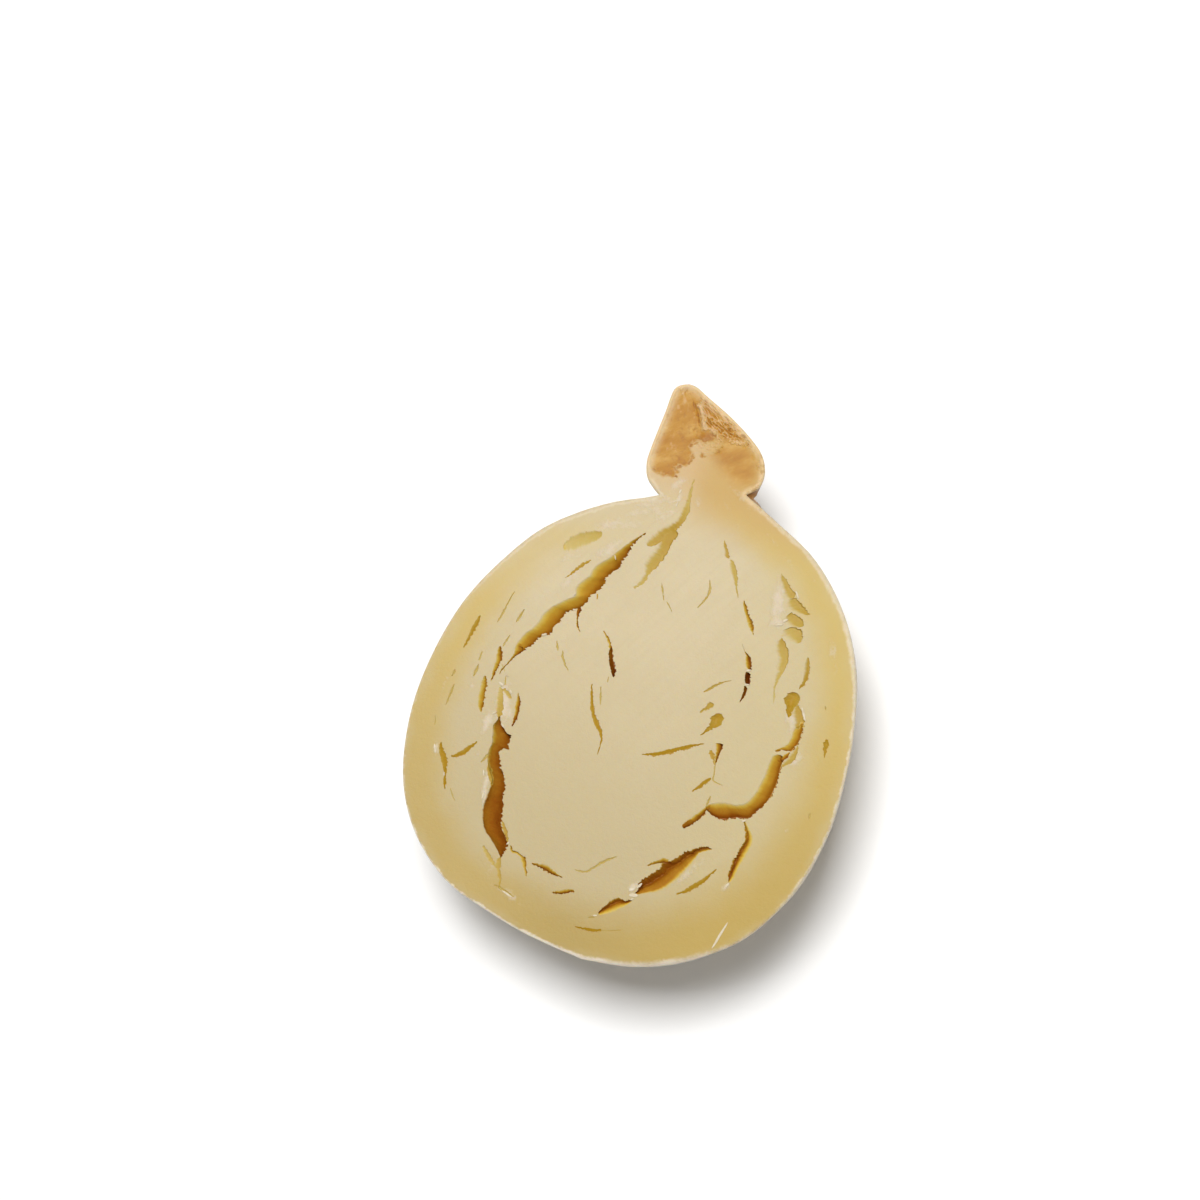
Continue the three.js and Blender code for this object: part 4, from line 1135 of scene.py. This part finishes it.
def paint(half, toned):
    """Writes down, for the materials, how far each point is from the rind, down a split and into the head."""
    points = positions(half)
    flat = points[:, :2]
    from_rim = rim_distance(points)
    gold = np.zeros(len(points))
    light = np.zeros(len(points))
    on_head = flat[:, 1] > HEAD_FROM_Y
    _, gold[on_head], light[on_head] = torn_head(flat[on_head])
    shade, tone = split_tones(points, from_rim, toned)
    note(half, "from_rim", from_rim)
    note(half, "rind_edge", edge_width(flat) - from_rim)
    note(half, "gold", gold)
    note(half, "light", light)
    note(half, "split_shade", shade)
    note(half, "split_tone", tone)
    note(half, "smear", smeared(flat))


def add_flakes(half, torn_curd):
    """Lays small rough flakes of curd on the cut face and joins them to the half."""
    flakes = []
    for number, (x, y, length, width, height, direction) in enumerate(FLAKES):
        bpy.ops.mesh.primitive_ico_sphere_add(subdivisions=3, radius=0.5)
        flake = bpy.context.object
        ball = positions(flake) * MM
        rough_skin = np.array([1 + FLAKE_TEARING * rough(*spot, number * 3, 0.16) for spot in ball[:, :2]])
        curl = FLAKE_CURL * (2 * ball[:, 0]) ** 2 * height
        angle = math.radians(direction)
        along = ball[:, 0] * length
        across = ball[:, 1] * width * rough_skin
        tall = ball[:, 2] * height * rough_skin + curl + FLAKE_LIFT * height
        ground = FACE + relief(np.array([(x, y)]))[0]
        place(flake, np.column_stack([
            x + along * math.cos(angle) - across * math.sin(angle),
            y + along * math.sin(angle) + across * math.cos(angle),
            ground + tall,
        ]))
        flake.data.materials.append(torn_curd)
        flakes.append(flake)
    select([*flakes, half], half)
    bpy.ops.object.join()


def linear(red, green, blue):
    """A colour as it looks on the cut face, from 0 to 255, as Blender's linear colour."""
    share = np.array([red, green, blue]) / 255
    seen = np.where(share <= 0.04045, share / 12.92, ((share + 0.055) / 1.055) ** 2.4)
    return (*(seen / LIGHT_ON_FACE).tolist(), 1)


class Shading:
    """Adds nodes to one shader tree. An input is a node's output, a plain value or the name of a colour."""

    def __init__(self, tree):
        self.tree = tree
        self.spot = self.add("ShaderNodeTexCoord").outputs["Object"]

    def add(self, kind, inputs=None, **settings):
        node = self.tree.nodes.new(kind)
        for key, value in settings.items():
            setattr(node, key, value)
        for key, value in (inputs or {}).items():
            if isinstance(value, bpy.types.NodeSocket):
                self.tree.links.new(value, node.inputs[key])
            elif isinstance(value, str):
                node.inputs[key].default_value = linear(*COLOURS[value])
            else:
                node.inputs[key].default_value = value
        return node

    def attribute(self, name):
        return self.add("ShaderNodeAttribute", attribute_name=name).outputs["Fac"]

    def across_and_along(self):
        """Places across and along the cheese in metres."""
        outputs = self.add("ShaderNodeSeparateXYZ", {0: self.spot}).outputs
        return outputs["X"], outputs["Y"]

    def mix(self, share, first, second):
        """A blend of two colours."""
        return self.add("ShaderNodeMix", {0: share, 6: first, 7: second}, data_type="RGBA").outputs[2]

    def maths(self, operation, first, second):
        return self.add("ShaderNodeMath", {0: first, 1: second}, operation=operation).outputs[0]

    def plus(self, first, second):
        return self.maths("ADD", first, second)

    def minus(self, first, second):
        return self.maths("SUBTRACT", first, second)

    def times(self, first, second):
        return self.maths("MULTIPLY", first, second)

    def spread(self, value, low, high, to_low=0.0, to_high=1.0):
        """A smooth step of a value between two limits."""
        limits = {"Value": value, "From Min": low, "From Max": high, "To Min": to_low, "To Max": to_high}
        return self.add("ShaderNodeMapRange", limits, interpolation_type="SMOOTHSTEP").outputs["Result"]

    def ramp(self, value, stops):
        """A colour ramp with stops (place, colour)."""
        node = self.add("ShaderNodeValToRGB", {"Fac": value})
        elements = node.color_ramp.elements
        while len(elements) < len(stops):
            elements.new(0.5)
        for element, (spot, colour) in zip(elements, stops):
            element.position = spot
            element.color = linear(*COLOURS[colour])
        return node.outputs["Color"]

    def drawn_out(self, stretch, turn):
        """Object coordinates turned about the vertical, for patterns drawn out in one direction."""
        inputs = {"Vector": self.spot, "Rotation": (0, 0, turn), "Scale": stretch}
        return self.add("ShaderNodeMapping", inputs, vector_type="TEXTURE").outputs["Vector"]

    def clouds(self, size, detail=2.0, roughness=0.5, spot=None):
        """Noise from 0 to 1 with lumps of a size in millimetres."""
        vector = self.spot if spot is None else spot
        inputs = {"Vector": vector, "Scale": 1 / (size * MM), "Detail": detail, "Roughness": roughness}
        return self.add("ShaderNodeTexNoise", inputs).outputs["Fac"]

    def wavering(self, most, size, detail=2.0, roughness=0.5):
        """Such noise around 0, scaled."""
        return self.times(self.minus(self.clouds(size, detail, roughness), 0.5), most)

    def bump(self, height, strength):
        """Normals of a surface that is uneven by a height."""
        inputs = {"Height": height, "Strength": strength, "Distance": BUMP_HEIGHT}
        return self.add("ShaderNodeBump", inputs).outputs["Normal"]


def curd_grain():
    """The fine grain and mottling that all of the cheese shares."""
    tree = bpy.data.node_groups.new("curd_grain", "ShaderNodeTree")
    tree.interface.new_socket("Mottle", in_out="OUTPUT", socket_type="NodeSocketFloat")
    tree.interface.new_socket("Grain", in_out="OUTPUT", socket_type="NodeSocketFloat")
    nodes = Shading(tree)
    grain = nodes.plus(nodes.clouds(1.1, 3, 0.6), nodes.times(nodes.clouds(7), 1.5))
    nodes.add("NodeGroupOutput", {"Mottle": nodes.clouds(30, 3), "Grain": grain})
    return tree


def new_material(name):
    """A new material and its shader."""
    material = bpy.data.materials.new(name)
    material.use_nodes = True
    return material, material.node_tree.nodes["Principled BSDF"]


def set_waxy(shader, gloss, scatter):
    """Sets a shader to soft matt cheese that lets a little light in."""
    shader.inputs["Specular IOR Level"].default_value = gloss
    shader.inputs["IOR"].default_value = CHEESE_IOR
    shader.inputs["Subsurface Weight"].default_value = scatter
    shader.inputs["Subsurface Radius"].default_value = SCATTER_RADIUS
    shader.inputs["Subsurface Scale"].default_value = SCATTER_DEPTH


def paste_colour(nodes, mottle, across, low):
    """Ivory paste with faint strokes of the knife, deeper below and at the right."""
    paste = nodes.mix(mottle, "ivory", "cream")
    paste = nodes.mix(low, paste, "low_cream")
    paste = nodes.mix(nodes.spread(across, *RIGHT_PASTE, 0, 0.6), paste, "right_cream")
    strokes = nodes.clouds(2.4, 3, 0.6, nodes.drawn_out((9, 1, 1), 1))
    return nodes.mix(nodes.spread(strokes, 0.4, 0.65, 0, 0.15), paste, "knife_stroke")


def yellow_under_rind(nodes, paste, across, along, low, from_rim):
    """The paste turns yellow towards the rind, most of all below, and little at the upper left."""
    reach = nodes.minus(nodes.plus(from_rim, nodes.wavering(8, 14, 3)), nodes.times(low, 3))
    low_yellow = nodes.mix(nodes.spread(across, *LOW_LEFT), "low_left_yellow", "low_yellow")
    yellow = nodes.mix(low, "yellow", low_yellow)
    right_yellow = nodes.mix(low, "right_yellow", "low_right_yellow")
    yellow = nodes.mix(nodes.spread(across, *RIGHT_YELLOW, 0, 0.7), yellow, right_yellow)
    fades_at = nodes.plus(nodes.times(low, nodes.spread(across, *LOW_RIGHT, 0, 8)), 18)
    inward = nodes.spread(reach, 4, fades_at, nodes.spread(low, 0, 1, 0.95, 0.82), 0)
    outward = nodes.spread(reach, nodes.spread(low, 0, 1, -2, -4), nodes.spread(low, 0, 1, 6, 0.5), 0.5, 1)
    upper_left = nodes.times(nodes.spread(along, *UPPER), nodes.spread(across, *UPPER_LEFT, 0, 0.45))
    upper_left = nodes.times(upper_left, nodes.spread(along, *SHOULDER, 1, 2))
    outward = nodes.times(outward, nodes.minus(1, upper_left))
    return nodes.mix(nodes.times(inward, outward), paste, yellow)


def golden_head(nodes, colour, across, along, from_rim):
    """Tan from the neck upwards, amber where the head is torn, with pale edges, painted highlights and
    painted shadow in creases.
    """
    neck = nodes.mix(nodes.spread(across, *NECK_SIDES), "left_neck", "right_neck")
    above_neck = nodes.minus(along, nodes.spread(across, *NECK_SIDES, *NECK_FROM))
    colour = nodes.mix(nodes.spread(above_neck, *NECK_REACH, 0, 0.95), colour, neck)
    strands = nodes.clouds(6, 4, 0.6, nodes.drawn_out((1, 2.4, 1), -0.9))
    amber = nodes.ramp(strands, [(0.34, "dark_amber"), (0.5, "amber"), (0.66, "light_amber")])
    gold = nodes.times(nodes.attribute("gold"), nodes.spread(from_rim, 0.3, 4.2, 0.08, 1))
    colour = nodes.mix(gold, colour, amber)
    light = nodes.attribute("light")
    # Pale edges with painted highlights, then painted shadow in the creases
    colour = nodes.mix(nodes.spread(light, 0.15, 1, 0, 0.7), colour, "torn_edge_highlight")
    return nodes.mix(nodes.spread(light, -0.05, -0.8, 0, 0.75), colour, "crease_shadow")


def pale_rim(nodes, colour, across, along):
    """The thin skin around the cut face: painted light at the right, below and on the head, painted shade at
    the left; scorched at the head's right.
    """
    rind_edge = nodes.plus(nodes.attribute("rind_edge"), nodes.wavering(2.6, 3.5, 4, 0.65))
    # Painted shade at the left of the rim and painted light at its lower right
    lower_right = nodes.spread(nodes.minus(across, along), *LOWER_RIGHT)
    dry = nodes.mix(lower_right, "dry_shaded_left_skin", "dry_lit_right_skin")
    moist = nodes.mix(lower_right, "moist_shaded_left_skin", "moist_lit_right_skin")
    skin = nodes.mix(nodes.spread(nodes.clouds(1.8, 4, 0.6), 0.35, 0.65), dry, moist)
    bottom = nodes.spread(along, *BOTTOM)
    # Painted light on the bottom edge, which turns away from the light
    skin = nodes.mix(nodes.times(bottom, 0.8), skin, "lit_bottom_skin")
    skin = nodes.mix(nodes.spread(rind_edge, 0.4, -0.4), skin, "inner_skin")
    inner = nodes.spread(along, *UPPER, -0.3, -1)
    outer = nodes.spread(nodes.times(bottom, across), *BOTTOM_RIGHT, 0.7, 2.2)
    on_head = nodes.spread(along, *HEAD_SKIN_FROM)
    scorched = nodes.spread(nodes.clouds(2.4, 3), 0.46, 0.58)
    scorched = nodes.times(scorched, nodes.spread(across, *SCORCHED_FROM, 0, 0.6))
    # Painted light on the head's rim
    skin = nodes.mix(on_head, skin, nodes.mix(scorched, "lit_head_skin", "scorched_skin"))
    on_body_shown = nodes.spread(rind_edge, inner, outer, 0, 0.85)
    on_head_shown = nodes.spread(rind_edge, -1.7, 0.9, 0, 0.75)
    return nodes.mix(nodes.mix(on_head, on_body_shown, on_head_shown), colour, skin)


def split_walls(nodes, colour):
    """The walls of the splits: painted more brown further down as shade, and lit straw to ochre where light
    reaches.
    """
    shade = nodes.attribute("split_shade")
    tone = nodes.attribute("split_tone")
    patchy = nodes.wavering(0.2, 5)
    # Painted shade: the walls darken further down
    deeper_shade = nodes.minus(nodes.maths("MAXIMUM", nodes.maths("MINIMUM", shade, 0.75), 0.25), 0.25)
    deeper_shade = nodes.times(deeper_shade, nodes.spread(tone, 0.55, 0.75, 0.6, 0.2))
    eager = nodes.times(shade, nodes.spread(tone, 0.7, 0.8, 1, 4))
    rising = nodes.times(nodes.plus(tone, patchy), nodes.spread(eager, 0, 0.36, 0.1, 1))
    shaded = nodes.ramp(nodes.plus(rising, deeper_shade), [
        (0, "pale_wall"), (0.2, "yellow_wall"), (0.4, "golden_wall"), (0.62, "ochre_wall"),
        (0.85, "shaded_brown_wall"), (1, "deep_shade_wall"),
    ])
    lit_tone = nodes.minus(nodes.plus(nodes.times(shade, 0.3), patchy), tone)
    lit = nodes.ramp(lit_tone, [(0.1, "lit_cream"), (0.5, "lit_straw"), (0.95, "lit_ochre")])
    is_lit = nodes.spread(tone, 0, -0.05)
    keen = nodes.times(shade, nodes.spread(tone, -0.55, -0.7, 1, 6))
    reached = nodes.mix(is_lit, nodes.spread(shade, 0, 0.1), nodes.spread(keen, 0, 0.6))
    return nodes.mix(reached, colour, nodes.mix(is_lit, shaded, lit))


def curd_material(grain_group):
    """The cut curd: ivory inside, yellow towards the rind, golden in the head and painted more brown down the
    splits as shade.
    """
    material, shader = new_material("cut_curd")
    nodes = Shading(material.node_tree)
    grain = nodes.add("ShaderNodeGroup", node_tree=grain_group).outputs
    across, along = nodes.across_and_along()
    low = nodes.spread(along, *LOW)
    from_rim = nodes.attribute("from_rim")
    colour = paste_colour(nodes, grain["Mottle"], across, low)
    colour = yellow_under_rind(nodes, colour, across, along, low, from_rim)
    colour = golden_head(nodes, colour, across, along, from_rim)
    scraped = nodes.plus(nodes.attribute("smear"), nodes.wavering(1.3, 2.6, 4, 0.7))
    scraped = nodes.spread(scraped, 0.25, 0.9, 0, 0.8)
    colour = nodes.mix(scraped, colour, "scraped_curd")
    colour = pale_rim(nodes, colour, across, along)
    colour = split_walls(nodes, colour)
    crumbs = nodes.times(scraped, nodes.clouds(2.2, 4, 0.7))
    height = nodes.plus(grain["Grain"], nodes.times(crumbs, 7))
    nodes.tree.links.new(colour, shader.inputs["Base Color"])
    nodes.tree.links.new(nodes.bump(height, 0.25), shader.inputs["Normal"])
    shader.inputs["Roughness"].default_value = CURD_ROUGHNESS
    set_waxy(shader, CURD_GLOSS, CURD_SCATTER)
    return material


def flake_material():
    """Torn flakes of curd: paler and drier than the cut face."""
    material, shader = new_material("torn_curd")
    nodes = Shading(material.node_tree)
    pale = nodes.ramp(nodes.clouds(1.2, 3), [(0.3, "flake"), (0.65, "pale_flake")])
    nodes.tree.links.new(pale, shader.inputs["Base Color"])
    shader.inputs["Roughness"].default_value = FLAKE_ROUGHNESS
    return material


def rind_material(grain_group):
    """The thin smooth rind: pale with faint lengthwise streaks and nicks on the body, tan on the head."""
    material, shader = new_material("rind")
    nodes = Shading(material.node_tree)
    mottle = nodes.add("ShaderNodeGroup", node_tree=grain_group).outputs["Mottle"]
    _, along = nodes.across_and_along()
    lengthwise = nodes.add("ShaderNodeMapping", {"Vector": nodes.spot, "Scale": STREAK_SCALE})
    lengthwise = lengthwise.outputs["Vector"]
    streaks = nodes.clouds(2.6, 3, 0.55, lengthwise)
    nicks = nodes.spread(nodes.clouds(1.5, 1, 0.3, lengthwise), 0.74, 0.8)
    body = nodes.ramp(mottle, [(0.35, "dull_rind"), (0.5, "rind"), (0.65, "pale_rind")])
    body = nodes.mix(nodes.spread(streaks, 0.4, 0.75, 0, 0.3), body, "rind_streak")
    body = nodes.mix(nodes.times(nicks, 0.6), body, "nick")
    head = nodes.ramp(nodes.spread(along, *HEAD_RIND_LENGTH), [
        (0, "neck_rind"), (0.3, "low_head_rind"), (0.7, "head_rind"), (1, "top_head_rind"),
    ])
    head = nodes.mix(nodes.spread(nodes.clouds(4, 4, 0.6), 0.35, 0.7, 0, 0.45), head, "worn_head_rind")
    colour = nodes.mix(nodes.spread(along, *HEAD_RIND_FROM), body, head)
    dull = nodes.plus(nodes.times(nodes.plus(mottle, streaks), 0.22), 0.17)
    nodes.tree.links.new(colour, shader.inputs["Base Color"])
    nodes.tree.links.new(dull, shader.inputs["Roughness"])
    nodes.tree.links.new(nodes.bump(nodes.minus(streaks, nicks), 0.15), shader.inputs["Normal"])
    set_waxy(shader, RIND_GLOSS, RIND_SCATTER)
    return material


def cheese():
    """The half with all its splits and flakes."""
    grain_group = curd_grain()
    half = uncut_half(curd_material(grain_group), rind_material(grain_group))
    groups, toned = split_blades()
    for blades in groups:
        cut_out(half, blades)
    paint(half, toned)
    sharpen_lips(half)
    add_flakes(half, flake_material())
    bpy.ops.object.shade_smooth_by_angle(angle=SMOOTH_UNDER, keep_sharp_edges=True)
    return half


def add_camera():
    """The camera at the photograph's viewing angle, with its framing."""
    back = Vector((
        math.sin(VIEW_TILT) * math.cos(VIEW_SIDE),
        math.sin(VIEW_TILT) * math.sin(VIEW_SIDE),
        math.cos(VIEW_TILT),
    ))
    up = Vector((-math.sin(PICTURE_LEAN), math.cos(PICTURE_LEAN), 0))
    up = (up - up.dot(back) * back).normalized()
    right = up.cross(back)
    pixels_per_unit = LENS / SENSOR * PICTURE_SIDE / VIEW_DISTANCE
    across = (FACE_CENTRE_PIXEL[0] - PICTURE_SIDE / 2) / pixels_per_unit
    upward = -(FACE_CENTRE_PIXEL[1] - PICTURE_SIDE / 2) / pixels_per_unit
    eye = Vector((0, 0, FACE)) - right * across - up * upward + back * VIEW_DISTANCE
    bpy.ops.object.camera_add(location=eye * MM)
    camera = bpy.context.object
    camera.matrix_world = Matrix.Translation(eye * MM) @ Matrix((right, up, back)).transposed().to_4x4()
    camera.data.lens = LENS
    camera.data.sensor_width = SENSOR
    bpy.context.scene.camera = camera


def white_floor():
    """A plain white floor."""
    bpy.ops.mesh.primitive_plane_add(size=FLOOR_SIDE)
    plane = bpy.context.object
    plane.name = "floor"
    white, shader = new_material("white_floor")
    shader.inputs["Base Color"].default_value = FLOOR_WHITE
    shader.inputs["Roughness"].default_value = FLOOR_ROUGHNESS
    plane.data.materials.append(white)
    return plane


def add_light():
    """A soft light from above and a white sky."""
    bpy.ops.object.light_add(type="AREA", location=KEY_PLACE)
    soft_key = bpy.context.object
    soft_key.name = "soft_key"
    soft_key.data.energy = KEY_ENERGY
    soft_key.data.size = KEY_SIDE
    soft_key.rotation_euler = (-KEY_PLACE).to_track_quat("-Z", "Y").to_euler()
    world = bpy.data.worlds.new("studio")
    bpy.context.scene.world = world
    world.use_nodes = True
    world.node_tree.nodes["Background"].inputs["Color"].default_value = SKY_WHITE
    world.node_tree.nodes["Background"].inputs["Strength"].default_value = SKY_STRENGTH
    bpy.context.scene.view_settings.view_transform = "Standard"


half = cheese()
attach(half, "root")
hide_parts("cheese_half")
add_camera()
floor = white_floor()
add_light()
